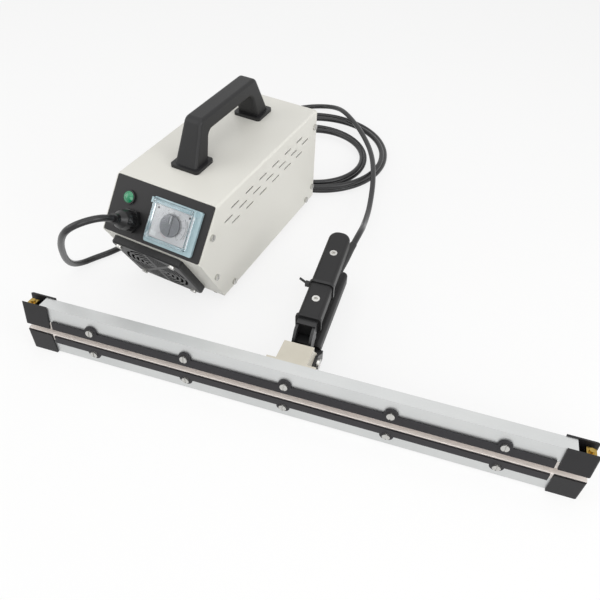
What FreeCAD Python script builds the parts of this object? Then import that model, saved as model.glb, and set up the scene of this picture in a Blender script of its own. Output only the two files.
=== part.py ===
"""Portable impulse heat sealer: a power box with a carry handle, a timer and a
cooling fan, and a hand-held tong with two long heated jaws, joined by a cord.

Frame: +Z up, floor at z = 0, X along the row, Y away from the viewer.
The box, its sloped panel, its lower front face and the tong are each drawn in
their own local frame and then set in place.
"""
import FreeCAD
import Part
import math
import os

Vec = FreeCAD.Vector

# Power box, sheet steel
BOX_WIDTH = 130.0
BOX_DEPTH = 234.0
BOX_HEIGHT = 131.6
NOSE_OUT = 41.2
NOSE_HEIGHT = 80.0
SHEET = 1.5
SHEET_FIT = 0.2
BEND_RADIUS = 3.0
BOX_X = -267.0
BOX_Y = -37.5

# Vent slots in the sides
VENT_LENGTH = 17.0
VENT_HEIGHT = 2.0
VENT_TOP_DROP = 18.2
VENT_ROW_PITCH = 10.4
VENT_PITCH = 30.6
VENT_FIRST = 33.0
VENT_STAGGER = 14.4
VENT_COUNT = 6

# Folded edges of the chassis and the rear panel
FLANGE_HEIGHT = 12.0
FLANGE_FRONT = 8.0
FLANGE_REAR = 17.0
REAR_FLANGE = 13.0
REAR_FLANGE_LOW = 13.0
TAB_LENGTH = 16.0
TAB_DEPTH = 13.0
TAB_INSET = 7.4
UPPER_TAB_DOWN = 34.0
LOWER_TAB_UP = 42.7

# M4 screws
M4_RADIUS = 2.0
M4_CLEARANCE = 0.1
M4_HEAD_RADIUS = 3.9
M4_HEAD_HEIGHT = 2.4
M4_SLOT_WIDTH = 1.0
M4_SLOT_DEPTH = 1.0
M4_LENGTH = 6.0
REAR_SCREW_INSET = 6.0
REAR_SCREW_LOW = 18.2
REAR_SCREW_DROP = 20.9
FLOOR_SCREW_RISE = 6.0
FLOOR_SCREW_FRONT = 22.0
FLOOR_SCREW_REAR = 22.5

# M5 bolts
M5_RADIUS = 2.5
M5_CLEARANCE = 0.1
M5_HEAD_RADIUS = 4.25
M5_HEAD_HEIGHT = 3.0
M5_SOCKET = 4.0
M5_SOCKET_DEPTH = 2.0
M5_REACH = 6.0

# Rubber feet
FOOT_HEIGHT = 10.0
FOOT_RADIUS = 8.5
FOOT_TAPER = 1.0
FOOT_RECESS = 5.0
FOOT_RECESS_RADIUS = 4.4
FOOT_SIDE = 19.0
FOOT_FRONT = 15.0
FOOT_REAR = 29.0

# Carry handle
HANDLE_LEFT = 3.0
HANDLE_BACK = 3.0
HANDLE_RISE = 52.4
HANDLE_BAR = 18.0
HANDLE_FOOT_WIDTH = 29.0
HANDLE_TOP_WIDTH = 22.0
HANDLE_FOOT_OUTER = 80.5
HANDLE_FOOT_INNER = 54.5
HANDLE_TOP_OUTER = 58.5
HANDLE_TOP_INNER = 46.0
HANDLE_CORNER = 9.0
HANDLE_EDGE = 4.0
HANDLE_PAD_HEIGHT = 4.0
HANDLE_PAD_RIM = 4.0
HANDLE_PAD_CORNER = 4.0
HANDLE_BOLT_X = 7.0
HANDLE_BOLT_REACH = 8.0

# Control panel on the slope, measured down the slope from the top edge
PANEL_SIDE = 2.0
PANEL_TOP = 1.5
PANEL_NOSE = 0.5
PANEL_THICK = 1.2
PANEL_CORNER = 2.0
PANEL_FIT = 0.1

# Indicator lamp
LAMP_X = 24.0
LAMP_ABOVE_GLAND = 23.9
LAMP_RADIUS = 7.9
LAMP_FLANGE = 1.0
LAMP_RIM = 1.4
LAMP_LENS_RADIUS = 6.4
LAMP_LENS_FIT = 0.2
LAMP_DOME = 2.6
LAMP_NECK = 6.0
LAMP_DEPTH = 26.0
LAMP_NUT_FLATS = 17.0
LAMP_NUT_HEIGHT = 3.0

# Cable gland
GLAND_FROM_TIMER = 22.2
GLAND_FROM_NOSE = 19.43
GLAND_FLATS = 24.0
GLAND_HEX = 5.5
GLAND_NECK = 8.0
GLAND_NECK_DEPTH = 9.0
GLAND_SPIGOT = 9.0
GLAND_SPIGOT_HEIGHT = 6.5
GLAND_NUT_RADIUS = 11.5
GLAND_NUT_FIT = 0.1
GLAND_SKIRT = 8.5
GLAND_DOME = 13.0
GLAND_COLLAR = 5.8
GLAND_COLLAR_RADIUS = 6.0
GLAND_RIBS = 14
GLAND_RIB_CUT = 1.1
LOCKNUT_FLATS = 22.0
LOCKNUT_HEIGHT = 4.0

# Timer, its frame and its hinged clear lid
TIMER_FROM_RIGHT = 45.0
TIMER_FROM_NOSE = 29.73
TIMER_BODY_WIDTH = 45.0
TIMER_FAN_GAP = 0.94
TIMER_DEPTH = 43.0
TIMER_FACE_WIDTH = 47.0
TIMER_FACE_HEIGHT = 36.5
TIMER_FIT = 0.3
TIMER_FACE_RECESS = 0.6
TIMER_FRAME_LEFT = 28.3
TIMER_FRAME_RIGHT = 33.2
TIMER_FRAME_HALF = 25.0
TIMER_FRAME_THICK = 3.0
TIMER_FRAME_CORNER = 2.0
KNOB_RADIUS = 12.0
KNOB_HEIGHT = 2.2
KNOB_GRIP_WIDTH = 4.0
KNOB_GRIP_HEIGHT = 1.2
KNOB_GAP = 0.3
SPINDLE_RADIUS = 2.0
SPINDLE_HEIGHT = 2.4
SPINDLE_CLEARANCE = 0.05
LID_HALF_WIDTH = 25.5
LID_REACH = 21.0
LID_BARREL = 2.4
LID_GAP = 0.4
LID_WALL = 1.6
LID_ROOF = 1.5
LID_CORNER = 2.0
LID_PEG = 1.0
LID_PEG_CLEARANCE = 0.05
LID_PEG_LENGTH = 2.0
LID_SIDE_GAP = 0.3
LID_EAR = 2.2
LID_EAR_HALF = 3.0

# Cooling fan behind the lower front face
FAN_LEFT = 7.0
FAN_UP = 42.0
FAN_SIZE = 80.0
FAN_DEPTH = 15.0
FAN_BORE = 38.0
FAN_CORNER = 4.0
FAN_HOLE = 35.75
FAN_STRUT = 4.0
FAN_STRUT_DEPTH = 2.0
FAN_MOTOR_RADIUS = 15.0
FAN_SHAFT = 1.5
FAN_SHAFT_CLEARANCE = 0.05
FAN_HUB_RADIUS = 14.0
FAN_HUB_GAP = 0.3
FAN_HUB_TOP = 2.0
FAN_BLADES = 7
FAN_BLADE_TIP = 36.0
FAN_BLADE_CHORD = 14.0
FAN_BLADE_THICK = 1.2
FAN_BLADE_PITCH = 35.0
FAN_INTAKE = 37.0

# Fan guard outside
GUARD_WIDTH = 92.0
GUARD_HEIGHT = 84.0
GUARD_DEPTH = 9.0
GUARD_FACE = 2.0
GUARD_WALL = 2.5
GUARD_CORNER = 6.0
GUARD_EDGE = 1.5
GUARD_RING_FIRST = 6.0
GUARD_RING_PITCH = 6.0
GUARD_RING_SLOT = 3.2
GUARD_RINGS = 6
GUARD_SPOKE = 4.0
GUARD_SPOKES = 4
GUARD_BOSS = 4.6

# Transformer inside the box
CORE_LENGTH = 100.0
CORE_STACK = 50.0
CORE_HEIGHT = 84.0
CORE_YOKE = 17.0
CORE_WINDOW = 16.0
CORE_FROM_REAR = 84.0
CORE_PLATE = 4.0
CORE_PLATE_DEPTH = 84.0
CORE_BOLT_X = 42.0
CORE_BOLT_Y = 34.0
WINDING_GAP = 0.3
WINDING_OUT = 16.0
WINDING_CORNER = 6.0

# Power relay
RELAY_FROM_CORE = 70.0
RELAY_WIDTH = 45.0
RELAY_LENGTH = 30.0
RELAY_HEIGHT = 35.0
RELAY_EAR = 10.0
RELAY_EAR_HEIGHT = 4.0

# Mains inlet in the back
INLET_X = 38.0
INLET_Z = 45.0
INLET_FLANGE_WIDTH = 50.0
INLET_FLANGE_HEIGHT = 26.0
INLET_FLANGE = 3.0
INLET_CORNER = 6.0
INLET_BODY_WIDTH = 28.0
INLET_BODY_HEIGHT = 21.0
INLET_BODY_DEPTH = 22.0
INLET_RECESS_WIDTH = 23.4
INLET_RECESS_HEIGHT = 16.4
INLET_RECESS_DEPTH = 16.0
INLET_PIN_LENGTH = 11.0
INLET_PIN_WIDTH = 2.0
INLET_PIN_HEIGHT = 4.0
INLET_PIN_PITCH = 7.0
INLET_PIN_DROP = 4.0
INLET_SCREW = 20.0
INLET_FIT = 0.2

# Rocker switch in the back
ROCKER_FROM_RIGHT = 38.0
ROCKER_Z = 45.0
ROCKER_FLANGE_WIDTH = 22.0
ROCKER_FLANGE_HEIGHT = 31.0
ROCKER_FLANGE = 2.0
ROCKER_BODY_WIDTH = 19.0
ROCKER_BODY_HEIGHT = 27.0
ROCKER_BODY_DEPTH = 18.0
ROCKER_CAVITY_WIDTH = 15.0
ROCKER_CAVITY_HEIGHT = 25.0
ROCKER_CAVITY_DEPTH = 9.0
ROCKER_FIT = 0.2
BUTTON_WIDTH = 14.0
BUTTON_HALF = 11.4
BUTTON_ROOT = 3.0
BUTTON_END = 2.4
BUTTON_RISE = 1.2
BUTTON_PIN = 1.2
BUTTON_PIN_CLEARANCE = 0.05
BUTTON_PIN_LENGTH = 1.6
BUTTON_TILT = 8.0

# Tong: local frame u along the jaws, v back towards the hand, w up
TOOL_X = 2.0
TOOL_Y = -146.5
TOOL_YAW = 10.0
JAW_OPEN = 8.5
PIVOT_V = 52.0
JAW_GAP = 0.3

# Jaw bars and what they carry
BAR_LENGTH = 543.0
BAR_DEPTH = 15.0
BAR_HEIGHT = 27.0
BAR_WALL = 2.0
CAP_LENGTH = 29.0
CAP_OVERLAP = 10.0
CAP_WALL = 2.0
CAP_DROP = 1.0
CAP_FIT = 0.3
CAP_CORNER = 2.5
CAP_END_OPEN = 17.0
BAND_THICK = 0.4
BAND_WIDTH = 8.0
BAND_INSET = 10.5
CLOTH_THICK = 0.3
CLOTH_SKIRT = 8.0
STRIP_THICK = 2.0
STRIP_HEIGHT = 9.5
STRIP_EDGE = 0.5
STRIP_END_GAP = 3.5
TAB_RADIUS = 7.0
TAB_CENTRE = 10.5
STRIP_SCREW_PITCH = 106.0
STRIP_SCREW_RADIUS = 1.9
STRIP_SCREW_CLEARANCE = 0.1
STRIP_SCREW_HEAD = 4.0
STRIP_SCREW_RISE = 2.2
STRIP_SCREW_FRONT_LENGTH = 8.0
STRIP_SCREW_BACK_LENGTH = 7.0
TERMINAL_LENGTH = 9.0
TERMINAL_WIDTH = 9.0
TERMINAL_HEIGHT = 22.0
TERMINAL_SCREW = 2.6
TERMINAL_SCREW_RISE = 2.0

# Jaw brackets and the pivot
BRACKET_PLATE = 2.5
BRACKET_REACH = 30.0
BRACKET_FLANGE = 16.0
BRACKET_LOBE = 11.0
BRACKET_NECK = 9.0
BRACKET_NECK_V = 36.0
LOWER_CHEEK = 10.4
LOWER_FLANGE_HALF = 24.0
CHEEK_GAP = 0.6
UPPER_FLANGE_HALF = 25.5
BRACKET_BOLT_REACH = 7.0
PIN_RADIUS = 4.0
PIN_FIXED_FIT = 0.02
PIN_TURN_FIT = 0.05
PIN_HEAD_RADIUS = 6.5
PIN_HEAD = 2.7
PIN_HEAD_GAP = 0.3

# Handle arms
ARM_PLATE = 3.0
UPPER_ARM_FRONT_V = 32.0
UPPER_ARM_FRONT_W = 17.0
UPPER_ARM_FRONT = 8.0
UPPER_ARM_LOBE = 10.0
UPPER_ARM_REAR_V = 68.4
UPPER_ARM_REAR_W = 54.0
UPPER_ARM_REAR = 9.0
UPPER_SEAT_FRONT = 61.0
UPPER_SEAT_W = 42.0
SEAT_THICK = 4.0
SEAT_LENGTH = 15.0
LOWER_ARM_FRONT_V = 36.0
LOWER_ARM_FRONT_W = 26.0
LOWER_ARM_FRONT = 8.0
LOWER_ARM_LOBE = 9.0
LOWER_ARM_REAR_V = 69.0
LOWER_ARM_REAR_W = 15.0
LOWER_ARM_REAR = 8.0
LOWER_SEAT_FRONT = 60.6
LOWER_SEAT_W = 19.5
ARM_BLOCK = 8.0
TANG_HALF = 6.0
TANG_THICK = 8.0
TANG_LENGTH = 106.0
TANG_FIT = 0.2

# Grips
GRIP_START = 78.0
UPPER_GRIP_TOP = 66.7
UPPER_GRIP_HALF = 12.5
UPPER_GRIP_THICK = 20.0
UPPER_GRIP_LENGTH = 134.0
UPPER_GRIP_END = 11.0
UPPER_GRIP_SLOPE = 5.6
LOWER_GRIP_TOP = 24.0
LOWER_GRIP_HALF = 14.5
LOWER_GRIP_THICK = 19.0
LOWER_GRIP_LENGTH = 129.0
LOWER_GRIP_END = 6.0
GRIP_EDGE = 4.5
COLLAR_LENGTH = 3.0
COLLAR_OUT = 1.5
GRIP_SCREW_FRONT = 28.0
GRIP_SCREW_REAR = 98.0
GRIP_SCREW_SINK = 0.4
GRIP_SCREW_FIT = 0.3
BOSS_ALONG = 19.0
BOSS_RADIUS = 5.0
BOSS_RISE = 2.0

# Micro switch under the upper grip
SWITCH_START = 6.0
SWITCH_LENGTH = 20.0
SWITCH_HALF = 7.0
SWITCH_HEIGHT = 12.0
PLUNGER_ALONG = 17.0
PLUNGER_RADIUS = 2.5
PLUNGER_CLEARANCE = 0.05
PLUNGER_OUT = 3.0
PLUNGER_IN = 4.0
PLUNGER_TRAVEL = 1.5

# Cable tie round the upper grip and the cord
TIE_ALONG = 49.0
TIE_WIDTH = 3.6
TIE_THICK = 1.2
TIE_GAP = 0.4
TIE_CORNER = 4.9
TIE_FOLD = 3.0
TIE_HEAD = 5.0
TIE_TAIL = 11.0
TIE_TAIL_WIDTH = 2.6

# Return spring between the two arms
SPRING_RADIUS = 6.0
SPRING_WIRE = 0.8
SPRING_TURNS = 5
SPRING_V = 68.4
SPRING_GAP = 0.3
SPRING_LEAD = 2.4

# Cord: outside radius, sleeve at the tong, coil
CORD_RADIUS = 3.75
SLEEVE_DROP = 5.8
SLEEVE_REAR_U = 13.5
SLEEVE_FRONT_U = -0.8
SLEEVE_REACH = 142.7
SLEEVE_BOOT = 47.0
SLEEVE_BOOT_RADIUS = 5.2
SLEEVE_TIP_RADIUS = 4.4
SLEEVE_TAPER = 27.0
COIL_X = -185.0
COIL_Y = 315.0
COIL_START_RADIUS = 115.0
COIL_END_RADIUS = 113.0
COIL_STEP = 26.0
COIL_LEAN = 0.60
COIL_EASE = 0.25
COIL_LAYER = 8.3
COIL_TURNS = 4
COIL_LEAD = 7.5
ARC_SHARE = 0.45

# Free stretch from the gland round the front of the box to the coil
GLAND_RUN = 12.0
FRONT_POINTS = [
    (-236.3, -113.0, 138.1),
    (-243.2, -122.9, 138.2),
    (-251.9, -130.1, 134.2),
    (-260.8, -133.4, 126.8),
    (-272.0, -131.6, 112.8),
    (-285.0, -125.5, 92.0),
    (-297.5, -116.5, 69.5),
    (-309.0, -106.5, 47.5),
    (-317.5, -96.0, 29.0),
    (-323.5, -84.0, 14.5),
    (-325.0, -70.0, 5.6),
    (-320.0, -54.5, 3.75),
    (-309.5, -36.0, 3.75),
    (-300.5, -11.0, 3.75),
    (-295.0, 26.0, 3.75),
    (-292.5, 68.0, 3.75),
    (-292.7, 112.0, 3.75),
    (-294.5, 154.0, 3.75),
    (-297.5, 195.0, 3.75),
    (-299.6, 232.0, 3.75),
    (-300.0, 270.0, 3.75),
]

# Free stretch from the coil over its top to the tong
SLEEVE_RUN = 22.0
TAIL_POINTS = [
    (-298.0, 336.0, 12.05),
    (-297.0, 357.0, 11.6),
    (-292.5, 381.0, 9.0),
    (-283.5, 403.0, 5.5),
    (-270.5, 422.5, 3.9),
    (-253.5, 437.5, 4.1),
    (-232.0, 443.5, 7.0),
    (-210.5, 434.5, 14.5),
    (-190.0, 418.0, 21.5),
    (-167.0, 398.0, 23.2),
    (-144.0, 376.0, 23.4),
    (-123.0, 352.0, 23.4),
    (-104.5, 327.5, 23.3),
    (-89.0, 301.0, 23.2),
    (-76.5, 273.5, 22.6),
    (-65.5, 245.5, 21.0),
    (-56.0, 216.5, 20.0),
    (-47.5, 188.0, 21.5),
    (-40.5, 160.0, 27.5),
    (-34.0, 134.0, 38.0),
    (-28.9, 117.5, 48.6),
]

# Values that follow from the sizes above
SLOPE_LENGTH = math.hypot(NOSE_OUT, BOX_HEIGHT - NOSE_HEIGHT)
SLOPE_ANGLE = math.degrees(math.atan2(BOX_HEIGHT - NOSE_HEIGHT, NOSE_OUT))
LOWER_ANGLE = math.degrees(math.atan2(NOSE_HEIGHT, -NOSE_OUT))
INNER_LEFT = SHEET + SHEET_FIT
INNER_RIGHT = BOX_WIDTH - SHEET - SHEET_FIT
INNER_TOP = BOX_HEIGHT - SHEET - SHEET_FIT
HANDLE_X = BOX_WIDTH / 2 - HANDLE_LEFT
HANDLE_Y = BOX_DEPTH / 2 + HANDLE_BACK
HANDLE_BOLT_Y = (HANDLE_FOOT_OUTER + HANDLE_FOOT_INNER) / 2
TIMER_X = BOX_WIDTH - TIMER_FROM_RIGHT
TIMER_DOWN = SLOPE_LENGTH - TIMER_FROM_NOSE
GLAND_X = TIMER_X - TIMER_FRAME_LEFT - GLAND_FROM_TIMER
GLAND_DOWN = SLOPE_LENGTH - GLAND_FROM_NOSE
LAMP_DOWN = GLAND_DOWN - LAMP_ABOVE_GLAND
FAN_X = BOX_WIDTH / 2 - FAN_LEFT
CORE_Y = BOX_DEPTH - CORE_FROM_REAR
RELAY_X = BOX_WIDTH / 2
RELAY_Y = CORE_Y - RELAY_FROM_CORE
ROCKER_X = BOX_WIDTH - ROCKER_FROM_RIGHT
BAR_LOW = CAP_DROP
BAR_TOP = CAP_DROP + BAR_HEIGHT
SEAL_PLANE = BAR_TOP + BAND_THICK + CLOTH_THICK
PIVOT_W = SEAL_PLANE + JAW_GAP / 2
JAW_HALF = BAR_LENGTH / 2 + CAP_LENGTH - CAP_OVERLAP
CAP_INNER = BAR_LENGTH / 2 - CAP_OVERLAP
UPPER_CHEEK = LOWER_CHEEK + BRACKET_PLATE + CHEEK_GAP
LOWER_ARM_INNER = UPPER_CHEEK + BRACKET_PLATE
UPPER_ARM_INNER = LOWER_CHEEK - ARM_PLATE
LOWER_BOLT_U = (LOWER_CHEEK + BRACKET_PLATE + LOWER_FLANGE_HALF) / 2
UPPER_BOLT_U = (LOWER_ARM_INNER + UPPER_FLANGE_HALF) / 2
BRACKET_BOLT_W = BAR_LOW + BRACKET_FLANGE / 2

# Local frames
BOX_PLACE = FreeCAD.Placement(Vec(BOX_X, BOX_Y, FOOT_HEIGHT), FreeCAD.Rotation())
SLOPE_PLACE = FreeCAD.Placement(Vec(0, 0, BOX_HEIGHT), FreeCAD.Rotation(Vec(1, 0, 0), SLOPE_ANGLE))
LOWER_PLACE = FreeCAD.Placement(Vec(0, 0, 0), FreeCAD.Rotation(Vec(1, 0, 0), LOWER_ANGLE))
TOOL_PLACE = FreeCAD.Placement(Vec(TOOL_X, TOOL_Y, 0), FreeCAD.Rotation(Vec(0, 0, 1), TOOL_YAW))
OPEN_PLACE = FreeCAD.Placement(
    Vec(0, 0, 0), FreeCAD.Rotation(Vec(1, 0, 0), -JAW_OPEN), Vec(0, PIVOT_V, PIVOT_W)
)
GRIP_PLACE = FreeCAD.Placement(
    Vec(0, 0, 0),
    FreeCAD.Rotation(Vec(1, 0, 0), UPPER_GRIP_SLOPE),
    Vec(0, GRIP_START, UPPER_GRIP_TOP),
)

# The timer's body ends above the fan's upper rear corner, seen in the slope's frame
FAN_REAR_EDGE = SLOPE_PLACE.inverse().multVec(
    LOWER_PLACE.multVec(Vec(0, FAN_UP + FAN_SIZE / 2, -SHEET - FAN_DEPTH))
)
TIMER_BODY_HEIGHT = 2 * (-FAN_REAR_EDGE.y - TIMER_FAN_GAP - TIMER_DOWN)


def moved(shape, place):
    return shape.transformed(place.toMatrix(), True)


def unit(vector):
    return vector * (1.0 / vector.Length)


def block(x0, x1, y0, y1, z0, z1):
    return Part.makeBox(x1 - x0, y1 - y0, z1 - z0, Vec(x0, y0, z0))


def rod(radius, base, direction, length):
    return Part.makeCylinder(radius, length, base, direction)


def rounded_wire(points, radii):
    """Closed outline through the points, each corner rounded by its radius."""
    count = len(points)
    starts = []
    mids = []
    ends = []
    for i in range(count):
        corner = points[i]
        to_last = unit(points[i - 1] - corner)
        to_next = unit(points[(i + 1) % count] - corner)
        half = to_last.getAngle(to_next) / 2
        inward = unit(to_last + to_next)
        reach = radii[i] / math.tan(half)
        starts.append(corner + to_last * reach)
        ends.append(corner + to_next * reach)
        mids.append(corner + inward * (radii[i] / math.sin(half) - radii[i]))
    edges = []
    for i in range(count):
        if radii[i] > 0:
            edges.append(Part.Arc(starts[i], mids[i], ends[i]).toShape())
        following = starts[(i + 1) % count]
        if (following - ends[i]).Length > 1e-6:
            edges.append(Part.LineSegment(ends[i], following).toShape())
    return Part.Wire(edges)


def plan_block(x0, x1, y0, y1, z0, z1, corner):
    """Block with its four upright edges rounded."""
    points = [Vec(x0, y0, z0), Vec(x1, y0, z0), Vec(x1, y1, z0), Vec(x0, y1, z0)]
    return Part.Face(rounded_wire(points, [corner] * 4)).extrude(Vec(0, 0, z1 - z0))


def link_plate(p, p_radius, q, q_radius, x0, x1):
    """Plate whose outline runs round two discs, given in (y, z), from x0 to x1."""
    start = Vec(x0, p[0], p[1])
    end = Vec(x0, q[0], q[1])
    along = unit(end - start)
    across = Vec(0, -along.z, along.y)
    lean = (p_radius - q_radius) / (end - start).Length
    rise = math.sqrt(1.0 - lean * lean)
    up = along * lean + across * rise
    down = along * lean - across * rise
    edges = [
        Part.LineSegment(start + up * p_radius, end + up * q_radius).toShape(),
        Part.Arc(end + up * q_radius, end + along * q_radius, end + down * q_radius).toShape(),
        Part.LineSegment(end + down * q_radius, start + down * p_radius).toShape(),
        Part.Arc(
            start + down * p_radius, start - along * p_radius, start + up * p_radius
        ).toShape(),
    ]
    return Part.Face(Part.Wire(edges)).extrude(Vec(x1 - x0, 0, 0))


def hexagon(flats, x, y, z0, z1):
    radius = flats / math.sqrt(3.0)
    points = []
    for i in range(6):
        angle = math.radians(60 * i)
        points.append(Vec(x + radius * math.cos(angle), y + radius * math.sin(angle), z0))
    return Part.Face(Part.makePolygon(points + [points[0]])).extrude(Vec(0, 0, z1 - z0))


def turned(profile, x, y):
    """Solid of revolution about the local Z axis through (x, y); profile in (radius, z)."""
    points = [Vec(x + r, y, z) for r, z in profile]
    face = Part.Face(Part.makePolygon(points + [points[0]]))
    return face.revolve(Vec(x, y, 0), Vec(0, 0, 1), 360)


def fused(shapes):
    whole = shapes[0].multiFuse(shapes[1:])
    return whole.removeSplitter()


def tools_cut(shape, tools):
    return shape.cut(Part.makeCompound(tools))


def slotted_screw(tip, direction, radius, length, head_radius, head_height):
    """Round-head screw: tip is the point under the head, direction points out of it."""
    shank = rod(radius, tip - direction * length, direction, length)
    head = rod(head_radius, tip, direction, head_height)
    side = Vec(0, 0, 1)
    if abs(direction.z) > 0.5:
        side = Vec(1, 0, 0)
    slot = Part.makeBox(2 * head_radius, M4_SLOT_WIDTH, M4_SLOT_DEPTH)
    slot.translate(Vec(-head_radius, -M4_SLOT_WIDTH / 2, -M4_SLOT_DEPTH))
    turn = FreeCAD.Rotation(side, side.cross(direction) * -1, direction, "ZXY")
    slot = moved(slot, FreeCAD.Placement(tip + direction * head_height, turn))
    return shank.fuse(head).cut(slot)


def socket_bolt(tip, direction, length):
    """Socket-head M5 bolt: tip is the point under the head, direction points out of it."""
    shank = rod(M5_RADIUS, tip - direction * length, direction, length)
    head = rod(M5_HEAD_RADIUS, tip, direction, M5_HEAD_HEIGHT)
    socket = hexagon(M5_SOCKET, 0, 0, M5_HEAD_HEIGHT - M5_SOCKET_DEPTH, M5_HEAD_HEIGHT)
    side = Vec(1, 0, 0)
    if abs(direction.x) > 0.5:
        side = Vec(0, 0, 1)
    turn = FreeCAD.Rotation(side, direction.cross(side), direction, "ZXY")
    return shank.fuse(head).cut(moved(socket, FreeCAD.Placement(tip, turn)))


def meet(p, along_p, q, along_q):
    """Crossing point of two lines in (y, z)."""
    det = along_p[0] * along_q[1] - along_p[1] * along_q[0]
    share = ((q[0] - p[0]) * along_q[1] - (q[1] - p[1]) * along_q[0]) / det
    return (p[0] + share * along_p[0], p[1] + share * along_p[1])


# Power box

def box_profile(x0, x1):
    points = [
        Vec(x0, 0, BOX_HEIGHT),
        Vec(x0, -NOSE_OUT, NOSE_HEIGHT),
        Vec(x0, 0, 0),
        Vec(x0, BOX_DEPTH, 0),
        Vec(x0, BOX_DEPTH, BOX_HEIGHT),
    ]
    return Part.Face(Part.makePolygon(points + [points[0]])).extrude(Vec(x1 - x0, 0, 0))


def side_screw_spots():
    """Side screw positions in (y, z)."""
    upper = SLOPE_PLACE.multVec(Vec(0, -UPPER_TAB_DOWN, -TAB_INSET))
    lower = LOWER_PLACE.multVec(Vec(0, LOWER_TAB_UP, -TAB_INSET))
    return [
        (BOX_DEPTH - REAR_SCREW_INSET, REAR_SCREW_LOW),
        (BOX_DEPTH - REAR_SCREW_INSET, BOX_HEIGHT - REAR_SCREW_DROP),
        (FLOOR_SCREW_FRONT, FLOOR_SCREW_RISE),
        (BOX_DEPTH - FLOOR_SCREW_REAR, FLOOR_SCREW_RISE),
        (upper.y, upper.z),
        (lower.y, lower.z),
    ]


def side_holes():
    tools = []
    for y, z in side_screw_spots():
        base = Vec(-SHEET, y, z)
        tools.append(rod(M4_RADIUS + M4_CLEARANCE, base, Vec(1, 0, 0), BOX_WIDTH + 2 * SHEET))
    return tools


def foot_spots():
    spots = []
    for x in (FOOT_SIDE, BOX_WIDTH - FOOT_SIDE):
        for y in (FOOT_FRONT, BOX_DEPTH - FOOT_REAR):
            spots.append((x, y))
    return spots


def core_bolt_spots():
    middle = BOX_WIDTH / 2
    spots = []
    for x in (middle - CORE_BOLT_X, middle + CORE_BOLT_X):
        for y in (CORE_Y - CORE_BOLT_Y, CORE_Y + CORE_BOLT_Y):
            spots.append((x, y))
    return spots


def handle_bolt_spots():
    spots = []
    for x in (HANDLE_X - HANDLE_BOLT_X, HANDLE_X + HANDLE_BOLT_X):
        for y in (HANDLE_Y - HANDLE_BOLT_Y, HANDLE_Y + HANDLE_BOLT_Y):
            spots.append((x, y))
    return spots


def relay_screw_spots():
    offset = (RELAY_WIDTH + RELAY_EAR) / 2
    return [(RELAY_X - offset, RELAY_Y), (RELAY_X + offset, RELAY_Y)]


def upright_holes(spots, radius, z0, z1):
    return [rod(radius, Vec(x, y, z0), Vec(0, 0, 1), z1 - z0) for x, y in spots]


def vent_slots():
    tools = []
    half = (VENT_LENGTH - VENT_HEIGHT) / 2
    radius = VENT_HEIGHT / 2
    for row in range(3):
        z = BOX_HEIGHT - VENT_TOP_DROP - row * VENT_ROW_PITCH
        first = VENT_FIRST
        count = VENT_COUNT
        if row == 1:
            first = VENT_FIRST - VENT_STAGGER
            count = VENT_COUNT + 1
        for i in range(count):
            y = first + i * VENT_PITCH
            tools.append(link_plate((y - half, z), radius, (y + half, z), radius, -SHEET, BOX_WIDTH + SHEET))
    return tools


def make_housing_cover():
    shell = box_profile(0, BOX_WIDTH)
    inside = block(
        SHEET, BOX_WIDTH - SHEET,
        -NOSE_OUT - SHEET, BOX_DEPTH + SHEET,
        -SHEET, BOX_HEIGHT - SHEET,
    )
    shell = shell.cut(inside)
    bends = []
    for edge in shell.Edges:
        ends = [vertex.Point for vertex in edge.Vertexes]
        high = all(abs(p.z - BOX_HEIGHT) < 1e-6 for p in ends)
        left = all(abs(p.x) < 1e-6 for p in ends)
        right = all(abs(p.x - BOX_WIDTH) < 1e-6 for p in ends)
        if high and (left or right):
            bends.append(edge)
    shell = shell.makeFillet(BEND_RADIUS, bends)
    tools = vent_slots() + side_holes()
    tools += upright_holes(
        handle_bolt_spots(), M5_RADIUS + M5_CLEARANCE, BOX_HEIGHT - 2 * SHEET, BOX_HEIGHT + SHEET
    )
    return tools_cut(shell, tools)


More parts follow.
